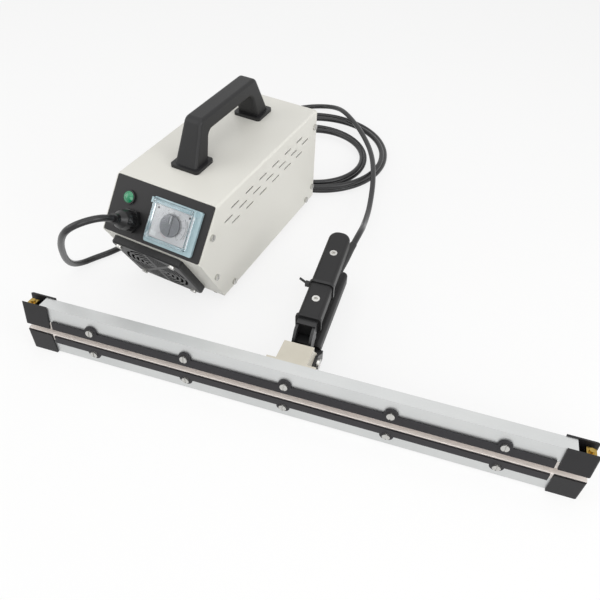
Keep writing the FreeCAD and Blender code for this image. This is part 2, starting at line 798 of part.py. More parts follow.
def make_chassis():
    slope = (math.cos(math.radians(SLOPE_ANGLE)), math.sin(math.radians(SLOPE_ANGLE)))
    face = (math.cos(math.radians(LOWER_ANGLE)), math.sin(math.radians(LOWER_ANGLE)))
    slope_start = (SHEET * slope[1], BOX_HEIGHT - SHEET * slope[0])
    face_start = (SHEET * face[1], -SHEET * face[0])
    above = BOX_HEIGHT + SHEET
    behind = BOX_DEPTH + SHEET
    top = meet(slope_start, slope, (0, above), (1, 0))
    nose = meet(slope_start, slope, face_start, face)
    foot = meet(face_start, face, (0, SHEET), (1, 0))
    corners = [top, nose, foot, (behind, SHEET), (behind, above)]
    points = [Vec(INNER_LEFT - SHEET, y, z) for y, z in corners]
    hollow = Part.Face(Part.makePolygon(points + [points[0]])).extrude(Vec(BOX_WIDTH, 0, 0))
    ribbon = box_profile(INNER_LEFT, INNER_RIGHT).cut(hollow)
    ribbon = ribbon.cut(block(0, BOX_WIDTH, -NOSE_OUT, BOX_DEPTH, INNER_TOP, above))
    pieces = [ribbon]
    for x in (INNER_LEFT, INNER_RIGHT - SHEET):
        pieces.append(block(x, x + SHEET, FLANGE_FRONT, BOX_DEPTH - FLANGE_REAR, 0, FLANGE_HEIGHT))
        tab = block(x, x + SHEET, -TAB_LENGTH / 2, TAB_LENGTH / 2, -TAB_DEPTH, 0)
        upper = tab.copy()
        upper.translate(Vec(0, -UPPER_TAB_DOWN, 0))
        pieces.append(moved(upper, SLOPE_PLACE))
        lower = tab.copy()
        lower.translate(Vec(0, LOWER_TAB_UP, 0))
        pieces.append(moved(lower, LOWER_PLACE))
    body = fused(pieces)
    through = Vec(0, 0, 1)
    deep = -2 * SHEET
    long = 4 * SHEET
    slope_tools = [
        rod(LAMP_NECK + PANEL_FIT, Vec(LAMP_X, -LAMP_DOWN, deep), through, long),
        rod(GLAND_NECK + PANEL_FIT, Vec(GLAND_X, -GLAND_DOWN, deep), through, long),
        timer_opening(deep, deep + long),
    ]
    lower_tools = [rod(FAN_INTAKE, Vec(FAN_X, FAN_UP, deep), through, long)]
    for x, y in fan_hole_spots():
        lower_tools.append(rod(M4_RADIUS + M4_CLEARANCE, Vec(x, y, deep), through, long))
    tools = [moved(tool, SLOPE_PLACE) for tool in slope_tools]
    tools += [moved(tool, LOWER_PLACE) for tool in lower_tools]
    tools += side_holes()
    tools += upright_holes(foot_spots(), M4_RADIUS + M4_CLEARANCE, -SHEET, 2 * SHEET)
    tools += upright_holes(relay_screw_spots(), M4_RADIUS + M4_CLEARANCE, -SHEET, 2 * SHEET)
    tools += upright_holes(core_bolt_spots(), M5_RADIUS + M5_CLEARANCE, -SHEET, 2 * SHEET)
    return tools_cut(body, tools)


def make_rear_panel():
    low = SHEET + SHEET_FIT
    plate = block(INNER_LEFT, INNER_RIGHT, BOX_DEPTH - SHEET, BOX_DEPTH, low, INNER_TOP)
    pieces = [plate]
    for x in (INNER_LEFT, INNER_RIGHT - SHEET):
        pieces.append(
            block(x, x + SHEET, BOX_DEPTH - REAR_FLANGE, BOX_DEPTH, REAR_FLANGE_LOW, INNER_TOP)
        )
    panel = fused(pieces)
    near = BOX_DEPTH - 2 * SHEET
    far = BOX_DEPTH + SHEET
    half_width = INLET_BODY_WIDTH / 2 + INLET_FIT
    half_height = INLET_BODY_HEIGHT / 2 + INLET_FIT
    inlet = block(
        INLET_X - half_width, INLET_X + half_width, near, far,
        INLET_Z - half_height, INLET_Z + half_height,
    )
    half_width = ROCKER_BODY_WIDTH / 2 + ROCKER_FIT
    half_height = ROCKER_BODY_HEIGHT / 2 + ROCKER_FIT
    rocker = block(
        ROCKER_X - half_width, ROCKER_X + half_width, near, far,
        ROCKER_Z - half_height, ROCKER_Z + half_height,
    )
    tools = side_holes() + [inlet, rocker]
    for x in (INLET_X - INLET_SCREW, INLET_X + INLET_SCREW):
        tools.append(rod(M4_RADIUS + M4_CLEARANCE, Vec(x, near, INLET_Z), Vec(0, 1, 0), far - near))
    return tools_cut(panel, tools)


def make_rubber_feet():
    feet = []
    for x, y in foot_spots():
        profile = [
            (M4_RADIUS + M4_CLEARANCE, 0),
            (FOOT_RADIUS, 0),
            (FOOT_RADIUS - FOOT_TAPER, -FOOT_HEIGHT),
            (FOOT_RECESS_RADIUS, -FOOT_HEIGHT),
            (FOOT_RECESS_RADIUS, -FOOT_HEIGHT + FOOT_RECESS),
            (M4_RADIUS + M4_CLEARANCE, -FOOT_HEIGHT + FOOT_RECESS),
        ]
        feet.append(turned(profile, x, y))
    return feet


def make_m4_screws():
    screws = []
    for y, z in side_screw_spots():
        left = (Vec(0, y, z), Vec(-1, 0, 0))
        right = (Vec(BOX_WIDTH, y, z), Vec(1, 0, 0))
        for tip, out in (left, right):
            screws.append(slotted_screw(tip, out, M4_RADIUS, M4_LENGTH, M4_HEAD_RADIUS, M4_HEAD_HEIGHT))
    foot_length = FOOT_HEIGHT - FOOT_RECESS + M4_LENGTH
    for x, y in foot_spots():
        tip = Vec(x, y, -FOOT_HEIGHT + FOOT_RECESS)
        screws.append(
            slotted_screw(tip, Vec(0, 0, -1), M4_RADIUS, foot_length, M4_HEAD_RADIUS, M4_HEAD_HEIGHT)
        )
    for x, y in relay_screw_spots():
        tip = Vec(x, y, SHEET + RELAY_EAR_HEIGHT)
        length = RELAY_EAR_HEIGHT + SHEET + M4_RADIUS
        screws.append(
            slotted_screw(tip, Vec(0, 0, 1), M4_RADIUS, length, M4_HEAD_RADIUS, M4_HEAD_HEIGHT)
        )
    for x in (INLET_X - INLET_SCREW, INLET_X + INLET_SCREW):
        tip = Vec(x, BOX_DEPTH + INLET_FLANGE, INLET_Z)
        length = INLET_FLANGE + M4_LENGTH
        screws.append(
            slotted_screw(tip, Vec(0, 1, 0), M4_RADIUS, length, M4_HEAD_RADIUS, M4_HEAD_HEIGHT)
        )
    return screws


# Carry handle on the top of the box

def make_carry_handle():
    base = BOX_HEIGHT + HANDLE_PAD_HEIGHT
    top = BOX_HEIGHT + HANDLE_RISE
    under = top - HANDLE_BAR
    half = HANDLE_FOOT_WIDTH / 2
    outline = [
        (-HANDLE_FOOT_OUTER, base, 0),
        (-HANDLE_TOP_OUTER, top, HANDLE_CORNER),
        (HANDLE_TOP_OUTER, top, HANDLE_CORNER),
        (HANDLE_FOOT_OUTER, base, 0),
        (HANDLE_FOOT_INNER, base, 0),
        (HANDLE_TOP_INNER, under, HANDLE_CORNER),
        (-HANDLE_TOP_INNER, under, HANDLE_CORNER),
        (-HANDLE_FOOT_INNER, base, 0),
    ]
    points = [Vec(HANDLE_X - half, HANDLE_Y + y, z) for y, z, r in outline]
    radii = [r for y, z, r in outline]
    bow = Part.Face(rounded_wire(points, radii)).extrude(Vec(HANDLE_FOOT_WIDTH, 0, 0))
    # Both sides lean in from the foot to the top
    lean = (HANDLE_FOOT_WIDTH - HANDLE_TOP_WIDTH) / 2 / (top - base)
    rear = HANDLE_Y + HANDLE_FOOT_OUTER
    run = 2 * HANDLE_FOOT_OUTER
    wedges = []
    for side in (-1, 1):
        foot = Vec(HANDLE_X + side * half, rear, base)
        tip = Vec(HANDLE_X + side * (half - 2 * lean * (top - base)), rear, 2 * top - base)
        out = Vec(HANDLE_X + side * HANDLE_FOOT_WIDTH, rear, 2 * top - base)
        low = Vec(HANDLE_X + side * HANDLE_FOOT_WIDTH, rear, base)
        face = Part.Face(Part.makePolygon([foot, tip, out, low, foot]))
        wedges.append(face.extrude(Vec(0, -run, 0)))
    bow = tools_cut(bow, wedges)
    rims = []
    for edge in bow.Edges:
        ends = [vertex.Point for vertex in edge.Vertexes]
        gaps = [abs(p.x - HANDLE_X) - half + lean * (p.z - base) for p in ends]
        on_side = all(abs(gap) < 1e-6 for gap in gaps) and len({p.x > HANDLE_X for p in ends}) == 1
        on_foot = all(abs(p.z - base) < 1e-6 for p in ends)
        if on_side and not on_foot:
            rims.append(edge)
    bow = bow.makeFillet(HANDLE_EDGE, rims)
    pieces = [bow]
    wide = half + HANDLE_PAD_RIM
    inner = HANDLE_FOOT_INNER - HANDLE_PAD_RIM
    outer = HANDLE_FOOT_OUTER + HANDLE_PAD_RIM
    for near, far in ((-outer, -inner), (inner, outer)):
        pieces.append(
            plan_block(
                HANDLE_X - wide, HANDLE_X + wide, HANDLE_Y + near, HANDLE_Y + far,
                BOX_HEIGHT, base, HANDLE_PAD_CORNER,
            )
        )
    handle = fused(pieces)
    # The bolts come up through the roof into blind holes
    reach = base + HANDLE_BOLT_REACH
    holes = upright_holes(handle_bolt_spots(), M5_RADIUS + M5_CLEARANCE, BOX_HEIGHT - 1, reach)
    return tools_cut(handle, holes)


# Control panel and what is set in it, drawn in the slope's own frame

def timer_opening(z0, z1):
    half_width = TIMER_BODY_WIDTH / 2 + TIMER_FIT
    half_height = TIMER_BODY_HEIGHT / 2 + TIMER_FIT
    return block(
        TIMER_X - half_width, TIMER_X + half_width,
        -TIMER_DOWN - half_height, -TIMER_DOWN + half_height, z0, z1,
    )


def make_control_panel():
    plate = plan_block(
        PANEL_SIDE, BOX_WIDTH - PANEL_SIDE, PANEL_NOSE - SLOPE_LENGTH, -PANEL_TOP,
        0, PANEL_THICK, PANEL_CORNER,
    )
    through = Vec(0, 0, 1)
    long = 3 * PANEL_THICK
    tools = [
        rod(LAMP_NECK + PANEL_FIT, Vec(LAMP_X, -LAMP_DOWN, -PANEL_THICK), through, long),
        rod(GLAND_NECK + PANEL_FIT, Vec(GLAND_X, -GLAND_DOWN, -PANEL_THICK), through, long),
        timer_opening(-PANEL_THICK, 2 * PANEL_THICK),
    ]
    return tools_cut(plate, tools)


def make_lamp_body():
    seat = PANEL_THICK + LAMP_FLANGE
    rim = LAMP_LENS_RADIUS + LAMP_LENS_FIT
    profile = [
        (0, -LAMP_DEPTH),
        (LAMP_NECK, -LAMP_DEPTH),
        (LAMP_NECK, PANEL_THICK),
        (LAMP_RADIUS, PANEL_THICK),
        (LAMP_RADIUS, seat + LAMP_RIM),
        (rim, seat + LAMP_RIM),
        (rim, seat),
        (0, seat),
    ]
    return turned(profile, LAMP_X, -LAMP_DOWN)


def make_lamp_lens():
    seat = PANEL_THICK + LAMP_FLANGE
    edge = seat + LAMP_RIM
    low = Vec(LAMP_X, -LAMP_DOWN, seat)
    drum = rod(LAMP_LENS_RADIUS, low, Vec(0, 0, 1), LAMP_RIM)
    ball = (LAMP_LENS_RADIUS ** 2 + LAMP_DOME ** 2) / (2 * LAMP_DOME)
    dome = Part.makeSphere(ball, Vec(LAMP_X, -LAMP_DOWN, edge + LAMP_DOME - ball))
    above = rod(2 * LAMP_LENS_RADIUS, low + Vec(0, 0, LAMP_RIM), Vec(0, 0, 1), 2 * LAMP_DOME)
    return fused([drum, dome.common(above)])


def make_gland_body():
    flange_top = PANEL_THICK + GLAND_HEX
    spot = Vec(GLAND_X, -GLAND_DOWN, 0)
    pieces = [
        hexagon(GLAND_FLATS, GLAND_X, -GLAND_DOWN, PANEL_THICK, flange_top),
        rod(GLAND_NECK, spot - Vec(0, 0, GLAND_NECK_DEPTH), Vec(0, 0, 1), GLAND_NECK_DEPTH + PANEL_THICK),
        rod(GLAND_SPIGOT, spot + Vec(0, 0, flange_top), Vec(0, 0, 1), GLAND_SPIGOT_HEIGHT),
    ]
    return fused(pieces)


def gland_heights():
    base = PANEL_THICK + GLAND_HEX
    shoulder = base + GLAND_SKIRT
    neck = shoulder + GLAND_DOME
    return base, shoulder, neck, neck + GLAND_COLLAR


def make_gland_nut():
    base, shoulder, neck, mouth = gland_heights()
    bore = GLAND_SPIGOT + GLAND_NUT_FIT
    roof = base + GLAND_SPIGOT_HEIGHT + GLAND_NUT_FIT
    profile = [
        (bore, base),
        (GLAND_NUT_RADIUS, base),
        (GLAND_NUT_RADIUS, shoulder),
        ((GLAND_NUT_RADIUS + GLAND_COLLAR_RADIUS) / 2 + 1.0, (shoulder + neck) / 2),
        (GLAND_COLLAR_RADIUS, neck),
        (GLAND_COLLAR_RADIUS, mouth),
        (0, mouth),
        (0, roof),
        (bore, roof),
    ]
    nut = turned(profile, GLAND_X, -GLAND_DOWN)
    grooves = []
    for i in range(GLAND_RIBS):
        angle = 2 * math.pi * i / GLAND_RIBS
        spot = Vec(
            GLAND_X + GLAND_NUT_RADIUS * math.cos(angle),
            -GLAND_DOWN + GLAND_NUT_RADIUS * math.sin(angle),
            base - 1,
        )
        grooves.append(rod(GLAND_RIB_CUT, spot, Vec(0, 0, 1), GLAND_SKIRT + 1))
    return tools_cut(nut, grooves)


def make_panel_nuts():
    lamp = hexagon(LAMP_NUT_FLATS, LAMP_X, -LAMP_DOWN, -SHEET - LAMP_NUT_HEIGHT, -SHEET)
    lamp = lamp.cut(
        rod(LAMP_NECK + PANEL_FIT, Vec(LAMP_X, -LAMP_DOWN, -LAMP_DEPTH), Vec(0, 0, 1), LAMP_DEPTH)
    )
    lock = hexagon(LOCKNUT_FLATS, GLAND_X, -GLAND_DOWN, -SHEET - LOCKNUT_HEIGHT, -SHEET)
    lock = lock.cut(
        rod(GLAND_NECK + PANEL_FIT, Vec(GLAND_X, -GLAND_DOWN, -LAMP_DEPTH), Vec(0, 0, 1), LAMP_DEPTH)
    )
    return [lamp, lock]


def timer_levels():
    """Heights above the slope: the face, the frame's top, the lid's underside and its hinge."""
    frame_top = PANEL_THICK + TIMER_FRAME_THICK
    face = frame_top - TIMER_FACE_RECESS
    lid_low = frame_top + LID_GAP
    return face, frame_top, lid_low, lid_low + LID_BARREL


def make_timer_body():
    face = timer_levels()[0]
    half_width = TIMER_BODY_WIDTH / 2
    half_height = TIMER_BODY_HEIGHT / 2
    body = block(
        TIMER_X - half_width, TIMER_X + half_width,
        -TIMER_DOWN - half_height, -TIMER_DOWN + half_height, -TIMER_DEPTH, PANEL_THICK,
    )
    half_width = TIMER_FACE_WIDTH / 2
    half_height = TIMER_FACE_HEIGHT / 2
    plate = block(
        TIMER_X - half_width, TIMER_X + half_width,
        -TIMER_DOWN - half_height, -TIMER_DOWN + half_height, PANEL_THICK, face,
    )
    spindle = rod(SPINDLE_RADIUS, Vec(TIMER_X, -TIMER_DOWN, face), Vec(0, 0, 1), SPINDLE_HEIGHT)
    return fused([body, plate, spindle])


def make_timer_frame():
    face, frame_top, lid_low, hinge = timer_levels()
    plate = plan_block(
        TIMER_X - TIMER_FRAME_LEFT, TIMER_X + TIMER_FRAME_RIGHT,
        -TIMER_DOWN - TIMER_FRAME_HALF, -TIMER_DOWN + TIMER_FRAME_HALF,
        PANEL_THICK, frame_top, TIMER_FRAME_CORNER,
    )
    half_width = TIMER_FACE_WIDTH / 2 + TIMER_FIT
    half_height = TIMER_FACE_HEIGHT / 2 + TIMER_FIT
    opening = block(
        TIMER_X - half_width, TIMER_X + half_width,
        -TIMER_DOWN - half_height, -TIMER_DOWN + half_height, 0, 2 * frame_top,
    )
    pieces = [plate.cut(opening)]
    axis_y = -TIMER_DOWN + LID_REACH
    inner = LID_HALF_WIDTH + LID_SIDE_GAP
    for side in (-1, 1):
        near = TIMER_X + side * inner
        far = TIMER_X + side * (inner + LID_EAR)
        pieces.append(
            block(
                min(near, far), max(near, far), axis_y - LID_EAR_HALF, axis_y + LID_EAR_HALF,
                frame_top, hinge + LID_BARREL,
            )
        )
        pieces.append(rod(LID_PEG, Vec(near, axis_y, hinge), Vec(-side, 0, 0), LID_PEG_LENGTH))
    return fused(pieces)


def make_timer_cover():
    face, frame_top, lid_low, hinge = timer_levels()
    axis_y = -TIMER_DOWN + LID_REACH
    edge_y = -TIMER_DOWN - LID_REACH
    left = TIMER_X - LID_HALF_WIDTH
    right = TIMER_X + LID_HALF_WIDTH
    lid_top = hinge + LID_BARREL
    points = [
        Vec(left, edge_y, lid_low),
        Vec(right, edge_y, lid_low),
        Vec(right, axis_y, lid_low),
        Vec(left, axis_y, lid_low),
    ]
    outline = rounded_wire(points, [LID_CORNER, LID_CORNER, 0, 0])
    lid = Part.Face(outline).extrude(Vec(0, 0, lid_top - lid_low))
    barrel = rod(LID_BARREL, Vec(left, axis_y, hinge), Vec(1, 0, 0), right - left)
    lid = fused([lid, barrel])
    cavity = block(
        left + LID_WALL, right - LID_WALL, edge_y + LID_WALL, axis_y - LID_BARREL - LID_WALL / 2,
        lid_low - 1, lid_top - LID_ROOF,
    )
    hole = LID_PEG + LID_PEG_CLEARANCE
    depth = LID_PEG_LENGTH
    holes = [
        rod(hole, Vec(left, axis_y, hinge), Vec(1, 0, 0), depth),
        rod(hole, Vec(right, axis_y, hinge), Vec(-1, 0, 0), depth),
    ]
    return tools_cut(lid, [cavity] + holes)


def make_timer_knob():
    face = timer_levels()[0]
    low = face + KNOB_GAP
    disc = rod(KNOB_RADIUS, Vec(TIMER_X, -TIMER_DOWN, low), Vec(0, 0, 1), KNOB_HEIGHT)
    reach = KNOB_RADIUS - 1.0
    ridge = plan_block(
        TIMER_X - KNOB_GRIP_WIDTH / 2, TIMER_X + KNOB_GRIP_WIDTH / 2,
        -TIMER_DOWN - reach, -TIMER_DOWN + reach,
        low + KNOB_HEIGHT, low + KNOB_HEIGHT + KNOB_GRIP_HEIGHT, KNOB_GRIP_WIDTH / 4,
    )
    knob = fused([disc, ridge])
    bore = rod(
        SPINDLE_RADIUS + SPINDLE_CLEARANCE, Vec(TIMER_X, -TIMER_DOWN, face), Vec(0, 0, 1),
        SPINDLE_HEIGHT + KNOB_GAP,
    )
    return knob.cut(bore)


# Fan and guard, drawn in the lower front face's own frame

def fan_hole_spots():
    spots = []
    for x in (FAN_X - FAN_HOLE, FAN_X + FAN_HOLE):
        for y in (FAN_UP - FAN_HOLE, FAN_UP + FAN_HOLE):
            spots.append((x, y))
    return spots


def make_fan_frame():
    front = -SHEET
    back = -SHEET - FAN_DEPTH
    half = FAN_SIZE / 2
    case = plan_block(
        FAN_X - half, FAN_X + half, FAN_UP - half, FAN_UP + half, back, front, FAN_CORNER
    )
    case = case.cut(rod(FAN_BORE, Vec(FAN_X, FAN_UP, back - 1), Vec(0, 0, 1), FAN_DEPTH + 2))
    middle = FAN_BORE + (half - FAN_BORE) / 2
    strut = FAN_STRUT / 2
    behind = back + FAN_STRUT_DEPTH
    shaft_length = FAN_DEPTH - FAN_STRUT_DEPTH - FAN_HUB_TOP - 2 * FAN_HUB_GAP
    pieces = [
        case,
        block(FAN_X - middle, FAN_X + middle, FAN_UP - strut, FAN_UP + strut, back, behind),
        block(FAN_X - strut, FAN_X + strut, FAN_UP - middle, FAN_UP + middle, back, behind),
        rod(FAN_MOTOR_RADIUS, Vec(FAN_X, FAN_UP, back), Vec(0, 0, 1), FAN_STRUT_DEPTH),
        rod(FAN_SHAFT, Vec(FAN_X, FAN_UP, behind), Vec(0, 0, 1), shaft_length - FAN_HUB_GAP),
    ]
    case = fused(pieces)
    return tools_cut(case, upright_holes(fan_hole_spots(), M4_RADIUS + M4_CLEARANCE, back - 1, front + 1))


def make_fan_impeller():
    back = -SHEET - FAN_DEPTH + FAN_STRUT_DEPTH + FAN_HUB_GAP
    front = -SHEET - FAN_HUB_TOP
    centre = Vec(FAN_X, FAN_UP, back)
    hub = rod(FAN_HUB_RADIUS, centre, Vec(0, 0, 1), front - back)
    pieces = [hub]
    root = FAN_HUB_RADIUS - 1.0
    for i in range(FAN_BLADES):
        blade = block(
            root, FAN_BLADE_TIP, -FAN_BLADE_CHORD / 2, FAN_BLADE_CHORD / 2,
            -FAN_BLADE_THICK / 2, FAN_BLADE_THICK / 2,
        )
        blade.rotate(Vec(0, 0, 0), Vec(1, 0, 0), FAN_BLADE_PITCH)
        blade.rotate(Vec(0, 0, 0), Vec(0, 0, 1), 360.0 * i / FAN_BLADES)
        blade.translate(Vec(FAN_X, FAN_UP, (front + back) / 2))
        pieces.append(blade)
    wheel = fused(pieces)
    bore = rod(FAN_SHAFT + FAN_SHAFT_CLEARANCE, centre, Vec(0, 0, 1), front - back - FAN_HUB_GAP)
    return wheel.cut(bore)


def make_fan_guard():
    half_width = GUARD_WIDTH / 2
    half_height = GUARD_HEIGHT / 2
    shell = plan_block(
        FAN_X - half_width, FAN_X + half_width, FAN_UP - half_height, FAN_UP + half_height,
        0, GUARD_DEPTH, GUARD_CORNER,
    )
    rim = [e for e in shell.Edges if all(abs(v.Z - GUARD_DEPTH) < 1e-6 for v in e.Vertexes)]
    shell = shell.makeChamfer(GUARD_EDGE, rim)
    half_width -= GUARD_WALL
    half_height -= GUARD_WALL
    pocket = plan_block(
        FAN_X - half_width, FAN_X + half_width, FAN_UP - half_height, FAN_UP + half_height,
        -1, GUARD_DEPTH - GUARD_FACE, GUARD_CORNER - GUARD_WALL,
    )
    shell = shell.cut(pocket)
    bosses = []
    for x, y in fan_hole_spots():
        bosses.append(rod(GUARD_BOSS, Vec(x, y, 0), Vec(0, 0, 1), GUARD_DEPTH - GUARD_FACE / 2))
    shell = fused([shell] + bosses)
    low = GUARD_DEPTH - 2 * GUARD_FACE
    high = 3 * GUARD_FACE
    spokes = []
    outer = GUARD_RING_FIRST + GUARD_RINGS * GUARD_RING_PITCH
    for i in range(GUARD_SPOKES):
        bar = block(-outer, outer, -GUARD_SPOKE / 2, GUARD_SPOKE / 2, low - 1, low + high + 1)
        bar.rotate(Vec(0, 0, 0), Vec(0, 0, 1), 180.0 * i / GUARD_SPOKES)
        bar.translate(Vec(FAN_X, FAN_UP, 0))
        spokes.append(bar)
    spider = Part.makeCompound(spokes)
    spot = Vec(FAN_X, FAN_UP, low)
    tools = []
    for i in range(GUARD_RINGS):
        inner = GUARD_RING_FIRST + i * GUARD_RING_PITCH
        ring = rod(inner + GUARD_RING_SLOT, spot, Vec(0, 0, 1), high)
        ring = ring.cut(rod(inner, spot, Vec(0, 0, 1), high))
        tools.append(ring.cut(spider))
    tools += upright_holes(fan_hole_spots(), M4_RADIUS + M4_CLEARANCE, -1, GUARD_DEPTH + 1)
    return tools_cut(shell, tools)


def make_fan_screws():
    screws = []
    for x, y in fan_hole_spots():
        tip = Vec(x, y, GUARD_DEPTH)
        length = GUARD_DEPTH + SHEET + FAN_DEPTH - 1.0
        screws.append(
            slotted_screw(tip, Vec(0, 0, 1), M4_RADIUS, length, M4_HEAD_RADIUS, M4_HEAD_HEIGHT)
        )
    return screws


# Inside the box

def make_transformer_core():
    middle = BOX_WIDTH / 2
    low = SHEET + CORE_PLATE
    half = CORE_STACK / 2
    stack = block(
        middle - CORE_LENGTH / 2, middle + CORE_LENGTH / 2, CORE_Y - half, CORE_Y + half,
        low, low + CORE_HEIGHT,
    )
    leg = CORE_LENGTH / 2 - CORE_YOKE - CORE_WINDOW
    for side in (-1, 1):
        near = middle + side * leg
        far = middle + side * (leg + CORE_WINDOW)
        window = block(
            min(near, far), max(near, far), CORE_Y - half - 1, CORE_Y + half + 1,
            low + CORE_YOKE, low + CORE_HEIGHT - CORE_YOKE,
        )
        stack = stack.cut(window)
    plate = block(
        middle - CORE_LENGTH / 2, middle + CORE_LENGTH / 2,
        CORE_Y - CORE_PLATE_DEPTH / 2, CORE_Y + CORE_PLATE_DEPTH / 2, SHEET, low,
    )
    holes = upright_holes(core_bolt_spots(), M5_RADIUS + M5_CLEARANCE, 0, low + 1)
    return tools_cut(fused([stack, plate]), holes)


def make_transformer_winding():
    middle = BOX_WIDTH / 2
    low = SHEET + CORE_PLATE + CORE_YOKE + WINDING_GAP
    high = SHEET + CORE_PLATE + CORE_HEIGHT - CORE_YOKE - WINDING_GAP
    leg = CORE_LENGTH / 2 - CORE_YOKE - CORE_WINDOW
    inner_x = leg + WINDING_GAP
    inner_y = CORE_STACK / 2 + WINDING_GAP
    outer_x = leg + CORE_WINDOW - WINDING_GAP
    outer_y = CORE_STACK / 2 + WINDING_OUT
    ring = plan_block(
        middle - outer_x, middle + outer_x, CORE_Y - outer_y, CORE_Y + outer_y, low, high, WINDING_CORNER
    )
    hole = block(
        middle - inner_x, middle + inner_x, CORE_Y - inner_y, CORE_Y + inner_y, low - 1, high + 1
    )
    return ring.cut(hole)


def make_power_relay():
    half = RELAY_WIDTH / 2
    body = block(
        RELAY_X - half, RELAY_X + half, RELAY_Y - RELAY_LENGTH / 2, RELAY_Y + RELAY_LENGTH / 2,
        SHEET, SHEET + RELAY_HEIGHT,
    )
    ears = block(
        RELAY_X - half - RELAY_EAR, RELAY_X + half + RELAY_EAR,
        RELAY_Y - RELAY_EAR / 2, RELAY_Y + RELAY_EAR / 2, SHEET, SHEET + RELAY_EAR_HEIGHT,
    )
    holes = upright_holes(
        relay_screw_spots(), M4_RADIUS + M4_CLEARANCE, 0, SHEET + RELAY_EAR_HEIGHT + 1
    )
    return tools_cut(fused([body, ears]), holes)


# Back of the box

def make_mains_inlet():
    face = BOX_DEPTH + INLET_FLANGE
    points = [
        Vec(INLET_X - INLET_FLANGE_WIDTH / 2, BOX_DEPTH, INLET_Z - INLET_FLANGE_HEIGHT / 2),
        Vec(INLET_X + INLET_FLANGE_WIDTH / 2, BOX_DEPTH, INLET_Z - INLET_FLANGE_HEIGHT / 2),
        Vec(INLET_X + INLET_FLANGE_WIDTH / 2, BOX_DEPTH, INLET_Z + INLET_FLANGE_HEIGHT / 2),
        Vec(INLET_X - INLET_FLANGE_WIDTH / 2, BOX_DEPTH, INLET_Z + INLET_FLANGE_HEIGHT / 2),
    ]
    flange = Part.Face(rounded_wire(points, [INLET_CORNER] * 4)).extrude(Vec(0, INLET_FLANGE, 0))
    half_width = INLET_BODY_WIDTH / 2
    half_height = INLET_BODY_HEIGHT / 2
    body = block(
        INLET_X - half_width, INLET_X + half_width, face - INLET_BODY_DEPTH, BOX_DEPTH,
        INLET_Z - half_height, INLET_Z + half_height,
    )
    inlet = fused([flange, body])
    half_width = INLET_RECESS_WIDTH / 2
    half_height = INLET_RECESS_HEIGHT / 2
    floor = face - INLET_RECESS_DEPTH
    tools = [
        block(
            INLET_X - half_width, INLET_X + half_width, floor, face + 1,
            INLET_Z - half_height, INLET_Z + half_height,
        )
    ]
    for x in (INLET_X - INLET_SCREW, INLET_X + INLET_SCREW):
        tools.append(
            rod(M4_RADIUS + M4_CLEARANCE, Vec(x, BOX_DEPTH - 1, INLET_Z), Vec(0, 1, 0), INLET_FLANGE + 2)
        )
    inlet = tools_cut(inlet, tools)
    pins = []
    for offset, rise in ((-INLET_PIN_PITCH, -1), (0, 1), (INLET_PIN_PITCH, -1)):
        z = INLET_Z + rise * INLET_PIN_DROP / 2
        pins.append(
            block(
                INLET_X + offset - INLET_PIN_WIDTH / 2, INLET_X + offset + INLET_PIN_WIDTH / 2,
                floor - 1, floor + INLET_PIN_LENGTH, z - INLET_PIN_HEIGHT / 2, z + INLET_PIN_HEIGHT / 2,
            )
        )
    return fused([inlet] + pins)


def rocker_axis():
    return Vec(ROCKER_X, BOX_DEPTH + ROCKER_FLANGE - BUTTON_ROOT, ROCKER_Z)


def make_rocker_housing():
    face = BOX_DEPTH + ROCKER_FLANGE
    flange = block(
        ROCKER_X - ROCKER_FLANGE_WIDTH / 2, ROCKER_X + ROCKER_FLANGE_WIDTH / 2, BOX_DEPTH, face,
        ROCKER_Z - ROCKER_FLANGE_HEIGHT / 2, ROCKER_Z + ROCKER_FLANGE_HEIGHT / 2,
    )
    body = block(
        ROCKER_X - ROCKER_BODY_WIDTH / 2, ROCKER_X + ROCKER_BODY_WIDTH / 2,
        face - ROCKER_BODY_DEPTH, BOX_DEPTH,
        ROCKER_Z - ROCKER_BODY_HEIGHT / 2, ROCKER_Z + ROCKER_BODY_HEIGHT / 2,
    )
    cavity = block(
        ROCKER_X - ROCKER_CAVITY_WIDTH / 2, ROCKER_X + ROCKER_CAVITY_WIDTH / 2,
        face - ROCKER_CAVITY_DEPTH, face + 1,
        ROCKER_Z - ROCKER_CAVITY_HEIGHT / 2, ROCKER_Z + ROCKER_CAVITY_HEIGHT / 2,
    )
    length = BUTTON_WIDTH + 2 * BUTTON_PIN_LENGTH + 2 * BUTTON_PIN_CLEARANCE
    start = rocker_axis() - Vec(length / 2, 0, 0)
    bearing = rod(BUTTON_PIN + BUTTON_PIN_CLEARANCE, start, Vec(1, 0, 0), length)
    return tools_cut(fused([flange, body]), [cavity, bearing])


def make_rocker_button():
    axis = rocker_axis()
    left = axis.x - BUTTON_WIDTH / 2
    rise = BUTTON_ROOT + BUTTON_RISE
    outline = [
        (axis.y - BUTTON_END, axis.z - BUTTON_HALF),
        (axis.y + rise + BUTTON_END, axis.z - BUTTON_HALF),
        (axis.y + rise, axis.z),
        (axis.y + rise + BUTTON_END, axis.z + BUTTON_HALF),
        (axis.y - BUTTON_END, axis.z + BUTTON_HALF),
        (axis.y - BUTTON_ROOT, axis.z),
    ]
    points = [Vec(left, y, z) for y, z in outline]
    body = Part.Face(Part.makePolygon(points + [points[0]])).extrude(Vec(BUTTON_WIDTH, 0, 0))
    length = BUTTON_WIDTH + 2 * BUTTON_PIN_LENGTH
    pin = rod(BUTTON_PIN, axis - Vec(length / 2, 0, 0), Vec(1, 0, 0), length)
    button = fused([body, pin])
    button.rotate(axis, Vec(1, 0, 0), -BUTTON_TILT)
    return button


